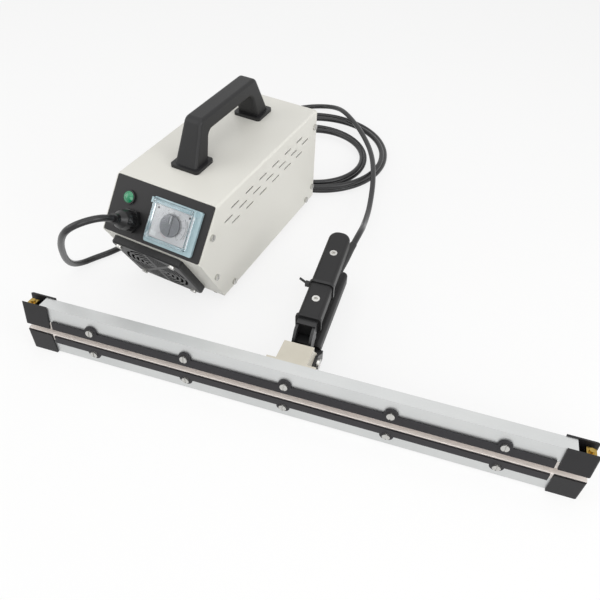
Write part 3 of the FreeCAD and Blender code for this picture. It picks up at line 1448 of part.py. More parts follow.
def make_box_bolts():
    bolts = []
    for x, y in handle_bolt_spots():
        tip = Vec(x, y, BOX_HEIGHT - SHEET)
        bolts.append(socket_bolt(tip, Vec(0, 0, -1), SHEET + HANDLE_PAD_HEIGHT + M5_REACH))
    for x, y in core_bolt_spots():
        bolts.append(socket_bolt(Vec(x, y, 0), Vec(0, 0, -1), SHEET + CORE_PLATE + M5_REACH / 2))
    return bolts


# Tong jaws, drawn closed; the upper jaw mirrors the lower about the pivot plane

def strip_screw_spots():
    return [i * STRIP_SCREW_PITCH for i in (-2, -1, 0, 1, 2)]


def strip_screw_w():
    return BAR_TOP - TAB_CENTRE


def back_screw_spots():
    return [u for u in strip_screw_spots() if abs(u) > UPPER_FLANGE_HALF + TAB_RADIUS]


def make_jaw_bar(bolt_u):
    half = BAR_LENGTH / 2
    bar = block(-half, half, 0, BAR_DEPTH, BAR_LOW, BAR_TOP)
    hollow = block(
        -half - 1, half + 1, BAR_WALL, BAR_DEPTH - BAR_WALL, BAR_LOW + BAR_WALL, BAR_TOP - BAR_WALL
    )
    radius = STRIP_SCREW_RADIUS + STRIP_SCREW_CLEARANCE
    tools = [hollow]
    for u in strip_screw_spots():
        tools.append(rod(radius, Vec(u, -1, strip_screw_w()), Vec(0, 1, 0), BAR_WALL + 1))
    for u in back_screw_spots():
        base = Vec(u, BAR_DEPTH - BAR_WALL, strip_screw_w())
        tools.append(rod(radius, base, Vec(0, 1, 0), BAR_WALL + 1))
    for u in (-bolt_u, bolt_u):
        base = Vec(u, BAR_DEPTH - BAR_WALL, BRACKET_BOLT_W)
        tools.append(rod(M5_RADIUS + M5_CLEARANCE, base, Vec(0, 1, 0), BAR_WALL + 1))
    return tools_cut(bar, tools)


def make_end_caps():
    caps = []
    for side in (-1, 1):
        near = side * CAP_INNER
        far = side * JAW_HALF
        points = [
            Vec(near, -CAP_WALL, 0),
            Vec(far, -CAP_WALL, 0),
            Vec(far, BAR_DEPTH + CAP_WALL, 0),
            Vec(near, BAR_DEPTH + CAP_WALL, 0),
        ]
        outline = rounded_wire(points, [0, CAP_CORNER, CAP_CORNER, 0])
        cap = Part.Face(outline).extrude(Vec(0, 0, BAR_TOP))
        wall = side * (JAW_HALF - CAP_WALL)
        stop = side * (BAR_LENGTH / 2 + CAP_FIT)
        inside = block(min(near, wall), max(near, wall), 0, BAR_DEPTH, -1, BAR_TOP - CAP_WALL)
        if side > 0:
            mouth = block(near - 1, stop, 0, BAR_DEPTH, -1, BAR_TOP + 1)
        else:
            mouth = block(stop, near + 1, 0, BAR_DEPTH, -1, BAR_TOP + 1)
        # The end wall stands only beside the jaw's edge, so the terminal shows from the end
        end = block(min(wall, far) - 1, max(wall, far) + 1, 0, BAR_DEPTH, -1, CAP_END_OPEN)
        caps.append(tools_cut(cap, [inside, mouth, end]))
    return caps


def make_terminals():
    blocks = []
    middle = BAR_DEPTH / 2
    top = BAR_TOP - CAP_WALL
    for side in (-1, 1):
        outer = side * (JAW_HALF - CAP_WALL - CAP_FIT)
        inner = outer - side * TERMINAL_LENGTH
        body = block(
            min(inner, outer), max(inner, outer), middle - TERMINAL_WIDTH / 2, middle + TERMINAL_WIDTH / 2,
            top - TERMINAL_HEIGHT, top,
        )
        spot = Vec((inner + outer) / 2, middle, top - TERMINAL_HEIGHT)
        head = rod(TERMINAL_SCREW, spot, Vec(0, 0, -1), TERMINAL_SCREW_RISE)
        blocks.append(fused([body, head]))
    return blocks


def make_heating_band():
    half = JAW_HALF - BAND_INSET
    middle = BAR_DEPTH / 2
    return block(
        -half, half, middle - BAND_WIDTH / 2, middle + BAND_WIDTH / 2, BAR_TOP, BAR_TOP + BAND_THICK
    )


def make_ptfe_cloth():
    low = BAR_TOP + BAND_THICK
    high = low + CLOTH_THICK
    reach = CAP_INNER - CAP_FIT
    web = block(-JAW_HALF, JAW_HALF, 0, BAR_DEPTH, low, high)
    saddle = block(-reach, reach, -CLOTH_THICK, BAR_DEPTH + CLOTH_THICK, low, high)
    front = block(-reach, reach, -CLOTH_THICK, 0, BAR_TOP - CLOTH_SKIRT, high)
    back = block(-reach, reach, BAR_DEPTH, BAR_DEPTH + CLOTH_THICK, BAR_TOP - CLOTH_SKIRT, high)
    return fused([web, saddle, front, back])


def make_clamp_strips():
    strips = []
    half = CAP_INNER - STRIP_END_GAP
    high = BAR_TOP - STRIP_EDGE
    low = high - STRIP_HEIGHT
    front = (-CLOTH_THICK - STRIP_THICK, -CLOTH_THICK, strip_screw_spots())
    back = (BAR_DEPTH + CLOTH_THICK, BAR_DEPTH + CLOTH_THICK + STRIP_THICK, back_screw_spots())
    for near, far, spots in (front, back):
        pieces = [block(-half, half, near, far, low, high)]
        tools = []
        for u in spots:
            spot = Vec(u, near, strip_screw_w())
            pieces.append(rod(TAB_RADIUS, spot, Vec(0, 1, 0), far - near))
            radius = STRIP_SCREW_RADIUS + STRIP_SCREW_CLEARANCE
            tools.append(rod(radius, spot - Vec(0, 1, 0), Vec(0, 1, 0), far - near + 2))
        strips.append(tools_cut(fused(pieces), tools))
    return strips


def make_strip_screws():
    screws = []
    front = -CLOTH_THICK - STRIP_THICK
    back = BAR_DEPTH + CLOTH_THICK + STRIP_THICK
    for u in strip_screw_spots():
        screws.append(
            slotted_screw(
                Vec(u, front, strip_screw_w()), Vec(0, -1, 0), STRIP_SCREW_RADIUS,
                STRIP_SCREW_FRONT_LENGTH, STRIP_SCREW_HEAD, STRIP_SCREW_RISE,
            )
        )
    for u in back_screw_spots():
        screws.append(
            slotted_screw(
                Vec(u, back, strip_screw_w()), Vec(0, 1, 0), STRIP_SCREW_RADIUS,
                STRIP_SCREW_BACK_LENGTH, STRIP_SCREW_HEAD, STRIP_SCREW_RISE,
            )
        )
    return screws


# Brackets and pivot

def make_jaw_bracket(cheek, flange_half, bolt_u, bore):
    rear = BAR_DEPTH + BRACKET_REACH
    high = BAR_LOW + BRACKET_FLANGE
    outer = cheek + BRACKET_PLATE
    pivot = (PIVOT_V, PIVOT_W)
    neck = (BRACKET_NECK_V, BAR_LOW + BRACKET_NECK)
    pieces = [
        block(-flange_half, flange_half, BAR_DEPTH, BAR_DEPTH + BRACKET_PLATE, BAR_LOW, high),
        block(-outer, outer, BAR_DEPTH, rear, BAR_LOW, BAR_LOW + BRACKET_PLATE),
    ]
    for x0, x1 in ((-outer, -cheek), (cheek, outer)):
        pieces.append(block(x0, x1, BAR_DEPTH, rear, BAR_LOW, high))
        pieces.append(link_plate(neck, BRACKET_NECK, pivot, BRACKET_LOBE, x0, x1))
    bracket = fused(pieces)
    tools = [rod(bore, Vec(-2 * outer, PIVOT_V, PIVOT_W), Vec(1, 0, 0), 4 * outer)]
    for u in (-bolt_u, bolt_u):
        base = Vec(u, BAR_DEPTH - 1, BRACKET_BOLT_W)
        tools.append(rod(M5_RADIUS + M5_CLEARANCE, base, Vec(0, 1, 0), BRACKET_PLATE + 2))
    return tools_cut(bracket, tools)


def make_bracket_bolts(bolt_u):
    bolts = []
    for u in (-bolt_u, bolt_u):
        tip = Vec(u, BAR_DEPTH + BRACKET_PLATE, BRACKET_BOLT_W)
        bolts.append(socket_bolt(tip, Vec(0, 1, 0), BRACKET_PLATE + BRACKET_BOLT_REACH))
    return bolts


def make_pivot_pin():
    half = LOWER_ARM_INNER + ARM_PLATE + PIN_HEAD_GAP
    shaft = rod(PIN_RADIUS, Vec(-half, PIVOT_V, PIVOT_W), Vec(1, 0, 0), 2 * half)
    left = rod(PIN_HEAD_RADIUS, Vec(-half, PIVOT_V, PIVOT_W), Vec(-1, 0, 0), PIN_HEAD)
    right = rod(PIN_HEAD_RADIUS, Vec(half, PIVOT_V, PIVOT_W), Vec(1, 0, 0), PIN_HEAD)
    return fused([shaft, left, right])


# Arms and grips

def make_upper_arm():
    pivot = (PIVOT_V, PIVOT_W)
    front = (UPPER_ARM_FRONT_V, UPPER_ARM_FRONT_W)
    rear = (UPPER_ARM_REAR_V, UPPER_ARM_REAR_W)
    inner = UPPER_ARM_INNER
    outer = LOWER_CHEEK
    pieces = []
    for x0, x1 in ((-outer, -inner), (inner, outer)):
        pieces.append(link_plate(front, UPPER_ARM_FRONT, pivot, UPPER_ARM_LOBE, x0, x1))
        pieces.append(link_plate(pivot, UPPER_ARM_LOBE, rear, UPPER_ARM_REAR, x0, x1))
    pieces.append(
        block(
            -outer, outer, UPPER_SEAT_FRONT, UPPER_SEAT_FRONT + SEAT_LENGTH,
            UPPER_SEAT_W, UPPER_SEAT_W + SEAT_THICK,
        )
    )
    middle = UPPER_GRIP_TOP - UPPER_GRIP_THICK / 2
    half = UPPER_ARM_REAR - 1.0
    root = block(-outer, outer, GRIP_START - ARM_BLOCK, GRIP_START, middle - half, middle + half)
    tang = block(
        -TANG_HALF, TANG_HALF, GRIP_START - ARM_BLOCK / 2, GRIP_START + TANG_LENGTH,
        middle - TANG_THICK / 2, middle + TANG_THICK / 2,
    )
    pieces.append(moved(fused([root, tang]), GRIP_PLACE))
    arm = fused(pieces)
    bore = rod(
        PIN_RADIUS + PIN_FIXED_FIT, Vec(-2 * outer, PIVOT_V, PIVOT_W), Vec(1, 0, 0), 4 * outer
    )
    holes = []
    for along in (GRIP_SCREW_FRONT, GRIP_SCREW_REAR):
        base = Vec(0, GRIP_START + along, middle - TANG_THICK)
        holes.append(rod(M5_RADIUS + M5_CLEARANCE, base, Vec(0, 0, 1), 2 * TANG_THICK))
    return tools_cut(arm, [bore] + [moved(hole, GRIP_PLACE) for hole in holes])


def make_lower_arm():
    pivot = (PIVOT_V, PIVOT_W)
    front = (LOWER_ARM_FRONT_V, LOWER_ARM_FRONT_W)
    rear = (LOWER_ARM_REAR_V, LOWER_ARM_REAR_W)
    inner = LOWER_ARM_INNER
    outer = LOWER_ARM_INNER + ARM_PLATE
    pieces = []
    for x0, x1 in ((-outer, -inner), (inner, outer)):
        pieces.append(link_plate(front, LOWER_ARM_FRONT, pivot, LOWER_ARM_LOBE, x0, x1))
        pieces.append(link_plate(pivot, LOWER_ARM_LOBE, rear, LOWER_ARM_REAR, x0, x1))
    pieces.append(
        block(
            -outer, outer, LOWER_SEAT_FRONT, LOWER_SEAT_FRONT + SEAT_LENGTH,
            LOWER_SEAT_W - SEAT_THICK, LOWER_SEAT_W,
        )
    )
    middle = LOWER_GRIP_TOP - LOWER_GRIP_THICK / 2
    half = LOWER_ARM_REAR - 1.0
    pieces.append(block(-outer, outer, GRIP_START - ARM_BLOCK, GRIP_START, middle - half, middle + half))
    pieces.append(
        block(
            -TANG_HALF, TANG_HALF, GRIP_START - ARM_BLOCK / 2, GRIP_START + TANG_LENGTH,
            middle - TANG_THICK / 2, middle + TANG_THICK / 2,
        )
    )
    arm = fused(pieces)
    tools = [
        rod(PIN_RADIUS + PIN_TURN_FIT, Vec(-2 * outer, PIVOT_V, PIVOT_W), Vec(1, 0, 0), 4 * outer)
    ]
    for along in (GRIP_SCREW_FRONT, GRIP_SCREW_REAR):
        base = Vec(0, GRIP_START + along, middle - TANG_THICK)
        tools.append(rod(M5_RADIUS + M5_CLEARANCE, base, Vec(0, 0, 1), 2 * TANG_THICK))
    return tools_cut(arm, tools)


def grip_body(half, thick, top, length, end_radius):
    """Grip with a rounded far end, soft edges, a collar and a slot for the tang."""
    low = top - thick
    points = [
        Vec(-half, GRIP_START, low),
        Vec(half, GRIP_START, low),
        Vec(half, GRIP_START + length, low),
        Vec(-half, GRIP_START + length, low),
    ]
    outline = rounded_wire(points, [0, 0, end_radius, end_radius])
    body = Part.Face(outline).extrude(Vec(0, 0, thick))
    rims = []
    for edge in body.Edges:
        heights = [vertex.Z for vertex in edge.Vertexes]
        level = max(heights) - min(heights) < 1e-6
        at_front = all(abs(vertex.Y - GRIP_START) < 1e-6 for vertex in edge.Vertexes)
        if level and not at_front:
            rims.append(edge)
    body = body.makeFillet(GRIP_EDGE, rims)
    wide = half + COLLAR_OUT
    corner = GRIP_EDGE
    corners = [
        Vec(-wide, GRIP_START, low - COLLAR_OUT),
        Vec(wide, GRIP_START, low - COLLAR_OUT),
        Vec(wide, GRIP_START, top + COLLAR_OUT),
        Vec(-wide, GRIP_START, top + COLLAR_OUT),
    ]
    collar = Part.Face(rounded_wire(corners, [corner] * 4)).extrude(Vec(0, COLLAR_LENGTH, 0))
    body = fused([body, collar])
    middle = top - thick / 2
    half_slot = TANG_THICK / 2 + TANG_FIT
    slot = block(
        -TANG_HALF - TANG_FIT, TANG_HALF + TANG_FIT, GRIP_START - 1,
        GRIP_START + TANG_LENGTH + TANG_FIT, middle - half_slot, middle + half_slot,
    )
    return body.cut(slot)


def grip_screw_holes(face, out):
    """Counterbored holes for the two grip screws; out is +1 or -1 along w."""
    tools = []
    for along in (GRIP_SCREW_FRONT, GRIP_SCREW_REAR):
        tip = Vec(0, GRIP_START + along, face - out * (M5_HEAD_HEIGHT + GRIP_SCREW_SINK))
        tools.append(
            rod(M5_HEAD_RADIUS + GRIP_SCREW_FIT, tip, Vec(0, 0, out), M5_HEAD_HEIGHT + TANG_THICK)
        )
        tools.append(rod(M5_RADIUS + M5_CLEARANCE, tip, Vec(0, 0, -out), TANG_THICK))
    return tools


def grip_screws(face, out, thick):
    screws = []
    reach = thick / 2 - M5_HEAD_HEIGHT - GRIP_SCREW_SINK + TANG_THICK / 2
    for along in (GRIP_SCREW_FRONT, GRIP_SCREW_REAR):
        tip = Vec(0, GRIP_START + along, face - out * (M5_HEAD_HEIGHT + GRIP_SCREW_SINK))
        screws.append(socket_bolt(tip, Vec(0, 0, out), reach))
    return screws


def make_upper_grip():
    grip = grip_body(
        UPPER_GRIP_HALF, UPPER_GRIP_THICK, UPPER_GRIP_TOP, UPPER_GRIP_LENGTH, UPPER_GRIP_END
    )
    grip = tools_cut(grip, grip_screw_holes(UPPER_GRIP_TOP, 1))
    return moved(grip, GRIP_PLACE)


def make_upper_grip_screws():
    return [moved(s, GRIP_PLACE) for s in grip_screws(UPPER_GRIP_TOP, 1, UPPER_GRIP_THICK)]


def make_lower_grip():
    grip = grip_body(
        LOWER_GRIP_HALF, LOWER_GRIP_THICK, LOWER_GRIP_TOP, LOWER_GRIP_LENGTH, LOWER_GRIP_END
    )
    spot = Vec(0, GRIP_START + BOSS_ALONG, LOWER_GRIP_TOP - 1)
    grip = fused([grip, rod(BOSS_RADIUS, spot, Vec(0, 0, 1), BOSS_RISE + 1)])
    return tools_cut(grip, grip_screw_holes(LOWER_GRIP_TOP - LOWER_GRIP_THICK, -1))


def make_lower_grip_screws():
    return grip_screws(LOWER_GRIP_TOP - LOWER_GRIP_THICK, -1, LOWER_GRIP_THICK)


def grip_underside():
    return UPPER_GRIP_TOP - UPPER_GRIP_THICK


def make_switch_body():
    high = grip_underside()
    low = high - SWITCH_HEIGHT
    start = GRIP_START + SWITCH_START
    body = block(-SWITCH_HALF, SWITCH_HALF, start, start + SWITCH_LENGTH, low, high)
    depth = PLUNGER_IN + PLUNGER_TRAVEL + PLUNGER_CLEARANCE
    hole = rod(
        PLUNGER_RADIUS + PLUNGER_CLEARANCE, Vec(0, GRIP_START + PLUNGER_ALONG, low), Vec(0, 0, 1), depth
    )
    return moved(body.cut(hole), GRIP_PLACE)


def make_switch_plunger():
    low = grip_underside() - SWITCH_HEIGHT - PLUNGER_OUT
    spot = Vec(0, GRIP_START + PLUNGER_ALONG, low)
    return moved(rod(PLUNGER_RADIUS, spot, Vec(0, 0, 1), PLUNGER_OUT + PLUNGER_IN), GRIP_PLACE)


def sleeve_ends():
    """Axis of the cord under the upper grip, in the grip's level frame: rear end, switch end."""
    level = grip_underside() - SLEEVE_DROP
    rear = Vec(SLEEVE_REAR_U, GRIP_START + SLEEVE_REACH, level)
    front = Vec(SLEEVE_FRONT_U, GRIP_START + SWITCH_START + SWITCH_LENGTH, level)
    return rear, front


def make_cord_sleeve():
    rear, front = sleeve_ends()
    inward = unit(front - rear)
    length = (front - rear).Length
    taper = Part.makeCone(SLEEVE_TIP_RADIUS, SLEEVE_BOOT_RADIUS, SLEEVE_TAPER, rear, inward)
    boot = rod(
        SLEEVE_BOOT_RADIUS, rear + inward * SLEEVE_TAPER, inward, SLEEVE_BOOT - SLEEVE_TAPER
    )
    lead = rod(CORD_RADIUS, rear + inward * SLEEVE_BOOT, inward, length - SLEEVE_BOOT)
    whole = fused([taper, boot, lead])
    stop = GRIP_START + SWITCH_START + SWITCH_LENGTH
    beyond = block(-SWITCH_HALF, SWITCH_HALF, stop - SWITCH_LENGTH, stop, front.z - 9, front.z + 9)
    return moved(whole.cut(beyond), GRIP_PLACE)


def make_cable_tie():
    rear, front = sleeve_ends()
    start = GRIP_START + TIE_ALONG
    share = (start + TIE_WIDTH / 2 - front.y) / (rear.y - front.y)
    cord_u = front.x + share * (rear.x - front.x)
    wide = UPPER_GRIP_HALF + TIE_GAP
    high = UPPER_GRIP_TOP + TIE_GAP
    knee = grip_underside()
    low = front.z - CORD_RADIUS - TIE_GAP
    spread = CORD_RADIUS + 1.5
    outline = [
        Vec(-wide, start, high),
        Vec(wide, start, high),
        Vec(wide, start, knee),
        Vec(cord_u + spread, start, low),
        Vec(cord_u - spread, start, low),
        Vec(-wide, start, knee),
    ]
    radii = [TIE_CORNER, TIE_CORNER, TIE_FOLD, TIE_FOLD, TIE_FOLD, TIE_FOLD]
    inner = rounded_wire(outline, radii)
    outer = inner.makeOffset2D(TIE_THICK)
    across = Vec(0, TIE_WIDTH, 0)
    band = Part.Face(outer).extrude(across).cut(Part.Face(inner).extrude(across))
    edge = -wide - TIE_THICK / 2
    level = UPPER_GRIP_TOP - UPPER_GRIP_THICK / 2
    head = block(
        edge - TIE_HEAD, edge, start - 0.7, start + TIE_WIDTH + 0.7, level, level + TIE_HEAD
    )
    tail = block(
        edge - TIE_HEAD / 2 - TIE_TAIL, edge - TIE_HEAD / 2,
        start + (TIE_WIDTH - TIE_TAIL_WIDTH) / 2, start + (TIE_WIDTH + TIE_TAIL_WIDTH) / 2,
        level + TIE_HEAD / 2 - TIE_THICK / 2, level + TIE_HEAD / 2 + TIE_THICK / 2,
    )
    tail.rotate(Vec(edge - TIE_HEAD / 2, start, level + TIE_HEAD / 2), Vec(0, 1, 0), 35)
    return moved(fused([band, head, tail]), GRIP_PLACE)


# Wound and free cords

def biarc(p0, t0, p1, t1):
    """Two arcs that leave p0 along t0, arrive at p1 along t1 and share a tangent between."""
    v = p1 - p0
    t = t0 + t1
    turn = 2.0 * (1.0 - t0.dot(t1))
    along = v.dot(t)
    reach = (math.sqrt(along * along + turn * v.dot(v)) - along) / turn
    q0 = p0 + t0 * reach
    q1 = p1 - t1 * reach
    joint = (q0 + q1) * 0.5
    arcs = []
    for a, corner, b in ((p0, q0, joint), (joint, q1, p1)):
        middle = (a + b) * 0.5
        half_chord = (b - a).Length / 2
        angle = math.acos(min(1.0, half_chord / reach))
        through = middle + (corner - middle) * (math.tan(angle / 2) / math.tan(angle))
        arcs.append(Part.Arc(a, through, b))
    return arcs


def tube(edges, radius, start, direction):
    """Round tube along one unbroken path."""
    path = Part.Wire([edge.toShape() for edge in edges])
    ring = Part.Wire([Part.Circle(start, direction, radius).toShape()])
    return path.makePipeShell([ring], True, False), path


def least_self_gap(path, radius, apart):
    """Smallest clear gap between stretches of the path that lie some way apart along it."""
    step = radius
    count = int(path.Length / step)
    points = path.discretize(count)
    skip = int(apart / step)
    best = path.Length
    for i in range(0, count, 2):
        p = points[i]
        for j in range(i + skip, count, 2):
            q = points[j]
            gap = math.dist((p.x, p.y, p.z), (q.x, q.y, q.z))
            if gap < best:
                best = gap
    return best - 2 * radius


def coil_share(t):
    """How far the spiral has stepped in after t turns, eased at both ends."""
    half = COIL_TURNS / 2
    if t < COIL_EASE:
        return t * t / (2 * COIL_EASE)
    if t < half - COIL_EASE:
        return t - COIL_EASE / 2
    left = half - t
    return half - COIL_EASE - left * left / (2 * COIL_EASE)


def coil_point(t):
    half = COIL_TURNS / 2
    inner = COIL_START_RADIUS - COIL_STEP * coil_share(half)
    if t <= half:
        radius = COIL_START_RADIUS - COIL_STEP * coil_share(t)
    else:
        share = coil_share(COIL_TURNS - t) / coil_share(half)
        radius = COIL_END_RADIUS - (COIL_END_RADIUS - inner) * share
    angle = math.pi - 2 * math.pi * t
    middle = COIL_Y - COIL_LEAN * (COIL_START_RADIUS - radius)
    climb = min(1.0, max(0.0, (t - half + 0.25) / 0.5))
    climb = climb * climb * (3 - 2 * climb)
    x = COIL_X + radius * math.cos(angle)
    y = middle + radius * math.sin(angle)
    return Vec(x, y, CORD_RADIUS + COIL_LAYER * climb)


def coil_tangent(t):
    step = 1e-4
    low = max(0.0, t - step)
    high = min(float(COIL_TURNS), t + step)
    return unit(coil_point(high) - coil_point(low))


def coil_ends():
    start = coil_point(0.0)
    end = coil_point(float(COIL_TURNS))
    return start - Vec(0, COIL_LEAD, 0), end + Vec(0, COIL_LEAD, 0)


def make_cord_coil():
    ahead = Vec(0, 1, 0)
    first, last = coil_ends()
    edges = [Part.LineSegment(first, coil_point(0.0))]
    quarters = 4 * COIL_TURNS
    for i in range(quarters):
        t0 = i / 4.0
        t1 = (i + 1) / 4.0
        tangent0 = ahead if i == 0 else coil_tangent(t0)
        tangent1 = ahead if i == quarters - 1 else coil_tangent(t1)
        edges += biarc(coil_point(t0), tangent0, coil_point(t1), tangent1)
    edges.append(Part.LineSegment(coil_point(float(COIL_TURNS)), last))
    solid, path = tube(edges, CORD_RADIUS, first, ahead)
    gap = least_self_gap(path, CORD_RADIUS, COIL_START_RADIUS)
    report_tube("cord_coil", solid, path, CORD_RADIUS, gap)
    return solid


def report_tube(name, solid, path, radius, gap):
    ideal = math.pi * radius * radius * path.Length
    print(name, "length", round(path.Length, 1), "volume ratio", round(solid.Volume / ideal, 5))
    if gap is not None:
        print(name, "least gap to itself", round(gap, 3))


def run_path(points):
    """Straight runs joined by the largest tangent arcs that their lengths allow."""
    edges = []
    radii = []
    last = points[0]
    for i in range(1, len(points) - 1):
        corner = points[i]
        back = points[i - 1] - corner
        on = points[i + 1] - corner
        reach = ARC_SHARE * min(back.Length, on.Length)
        half = back.getAngle(on) / 2
        radius = reach * math.tan(half)
        start = corner + unit(back) * reach
        end = corner + unit(on) * reach
        inward = unit(unit(back) + unit(on))
        middle = corner + inward * (radius / math.sin(half) - radius)
        edges.append(Part.LineSegment(last, start))
        edges.append(Part.Arc(start, middle, end))
        radii.append(round(radius, 1))
        last = end
    edges.append(Part.LineSegment(last, points[-1]))
    return edges, radii


def make_cord(name, points):
    edges, radii = run_path(points)
    solid, path = tube(edges, CORD_RADIUS, points[0], unit(points[1] - points[0]))
    print(name, "radii", radii, "least", min(radii))
    report_tube(name, solid, path, CORD_RADIUS, None)
    return solid


def front_route():
    place = BOX_PLACE.multiply(SLOPE_PLACE)
    mouth = gland_heights()[3]
    first = place.multVec(Vec(GLAND_X, -GLAND_DOWN, mouth))
    second = place.multVec(Vec(GLAND_X, -GLAND_DOWN, mouth + GLAND_RUN))
    return [first, second] + [Vec(*p) for p in FRONT_POINTS] + [coil_ends()[0]]


def tail_route():
    place = TOOL_PLACE.multiply(GRIP_PLACE)
    rear, front = sleeve_ends()
    outward = unit(rear - front)
    last = place.multVec(rear)
    before = place.multVec(rear + outward * SLEEVE_RUN)
    return [coil_ends()[1]] + [Vec(*p) for p in TAIL_POINTS] + [before, last]


def make_return_spring():
    low = LOWER_SEAT_W + SPRING_GAP
    high = UPPER_SEAT_W - SPRING_GAP
    lead = 2 * SPRING_WIRE
    first = low + lead + SPRING_LEAD
    last = high - lead - SPRING_LEAD
    pitch = (last - first) / SPRING_TURNS
    rise = pitch / (2 * math.pi)
    up = Vec(0, 0, 1)

    def spot(t):
        angle = 2 * math.pi * t
        return Vec(
            SPRING_RADIUS * math.cos(angle), SPRING_V + SPRING_RADIUS * math.sin(angle), first + pitch * t
        )

    def heading(t):
        angle = 2 * math.pi * t
        return unit(Vec(-SPRING_RADIUS * math.sin(angle), SPRING_RADIUS * math.cos(angle), rise))

    back = heading(0.0) * -SPRING_LEAD
    foot = Vec(spot(0).x + back.x, spot(0).y + back.y, low)
    ahead = heading(float(SPRING_TURNS)) * SPRING_LEAD
    end = spot(float(SPRING_TURNS))
    head = Vec(end.x + ahead.x, end.y + ahead.y, high)
    edges = [Part.LineSegment(foot, foot + up * lead)]
    edges += biarc(foot + up * lead, up, spot(0.0), heading(0.0))
    for i in range(4 * SPRING_TURNS):
        t0 = i / 4.0
        t1 = (i + 1) / 4.0
        edges += biarc(spot(t0), heading(t0), spot(t1), heading(t1))
    edges += biarc(end, heading(float(SPRING_TURNS)), head - up * lead, up)
    edges.append(Part.LineSegment(head - up * lead, head))
    solid, path = tube(edges, SPRING_WIRE, foot, up)
    gap = least_self_gap(path, SPRING_WIRE, 2 * SPRING_RADIUS)
    report_tube("return_spring", solid, path, SPRING_WIRE, gap)
    return solid


# Putting everything in place

def as_list(shape):
    if isinstance(shape, list):
        return shape
    return [shape]


def save(name, shape, place):
    solids = []
    for piece in as_list(shape):
        set_down = moved(piece, place)
        solids += set_down.Solids
    valid = all(solid.isValid() for solid in solids)
    volume = sum(solid.Volume for solid in solids)
    print(name, "solids", len(solids), "valid", valid, "volume", round(volume, 1))
    whole = solids[0] if len(solids) == 1 else Part.makeCompound(solids)
    whole.exportStep("parts/" + name + ".step")


def mirrored(shape):
    pieces = []
    for piece in as_list(shape):
        pieces.append(piece.mirror(Vec(0, 0, PIVOT_W), Vec(0, 0, 1)))
    return pieces


os.makedirs("parts", exist_ok=True)
ON_SLOPE = BOX_PLACE.multiply(SLOPE_PLACE)
ON_FACE = BOX_PLACE.multiply(LOWER_PLACE)
TOOL_OPEN = TOOL_PLACE.multiply(OPEN_PLACE)
HOME = FreeCAD.Placement()

save("housing_cover", make_housing_cover(), BOX_PLACE)
save("chassis", make_chassis(), BOX_PLACE)
save("rear_panel", make_rear_panel(), BOX_PLACE)
save("rubber_feet", make_rubber_feet(), BOX_PLACE)
save("m4_screws", make_m4_screws(), BOX_PLACE)
save("carry_handle", make_carry_handle(), BOX_PLACE)
save("control_panel", make_control_panel(), ON_SLOPE)
save("lamp_body", make_lamp_body(), ON_SLOPE)
save("lamp_lens", make_lamp_lens(), ON_SLOPE)
save("gland_body", make_gland_body(), ON_SLOPE)
save("gland_nut", make_gland_nut(), ON_SLOPE)
save("panel_nuts", make_panel_nuts(), ON_SLOPE)
save("timer_body", make_timer_body(), ON_SLOPE)
save("timer_frame", make_timer_frame(), ON_SLOPE)
save("timer_cover", make_timer_cover(), ON_SLOPE)
save("timer_knob", make_timer_knob(), ON_SLOPE)
save("fan_frame", make_fan_frame(), ON_FACE)
save("fan_impeller", make_fan_impeller(), ON_FACE)
save("fan_guard", make_fan_guard(), ON_FACE)
save("fan_screws", make_fan_screws(), ON_FACE)
save("transformer_core", make_transformer_core(), BOX_PLACE)
save("transformer_winding", make_transformer_winding(), BOX_PLACE)
save("power_relay", make_power_relay(), BOX_PLACE)
save("mains_inlet", make_mains_inlet(), BOX_PLACE)
save("rocker_housing", make_rocker_housing(), BOX_PLACE)
save("rocker_button", make_rocker_button(), BOX_PLACE)

lower_bolts = [moved(bolt, TOOL_PLACE) for bolt in make_bracket_bolts(LOWER_BOLT_U)]
box_bolts = [moved(bolt, BOX_PLACE) for bolt in make_box_bolts()]
save("m5_bolts", box_bolts + lower_bolts, HOME)

save("lower_jaw_bar", make_jaw_bar(LOWER_BOLT_U), TOOL_PLACE)
save("lower_end_caps", make_end_caps(), TOOL_PLACE)
save("lower_terminals", make_terminals(), TOOL_PLACE)
save("lower_heating_band", make_heating_band(), TOOL_PLACE)
save("lower_ptfe_cloth", make_ptfe_cloth(), TOOL_PLACE)
save("lower_clamp_strips", make_clamp_strips(), TOOL_PLACE)
save("lower_strip_screws", make_strip_screws(), TOOL_PLACE)
save("upper_jaw_bar", mirrored(make_jaw_bar(UPPER_BOLT_U)), TOOL_OPEN)
save("upper_end_caps", mirrored(make_end_caps()), TOOL_OPEN)
save("upper_terminals", mirrored(make_terminals()), TOOL_OPEN)
save("upper_heating_band", mirrored(make_heating_band()), TOOL_OPEN)
save("upper_ptfe_cloth", mirrored(make_ptfe_cloth()), TOOL_OPEN)
save("upper_clamp_strips", mirrored(make_clamp_strips()), TOOL_OPEN)
save("upper_strip_screws", mirrored(make_strip_screws()), TOOL_OPEN)

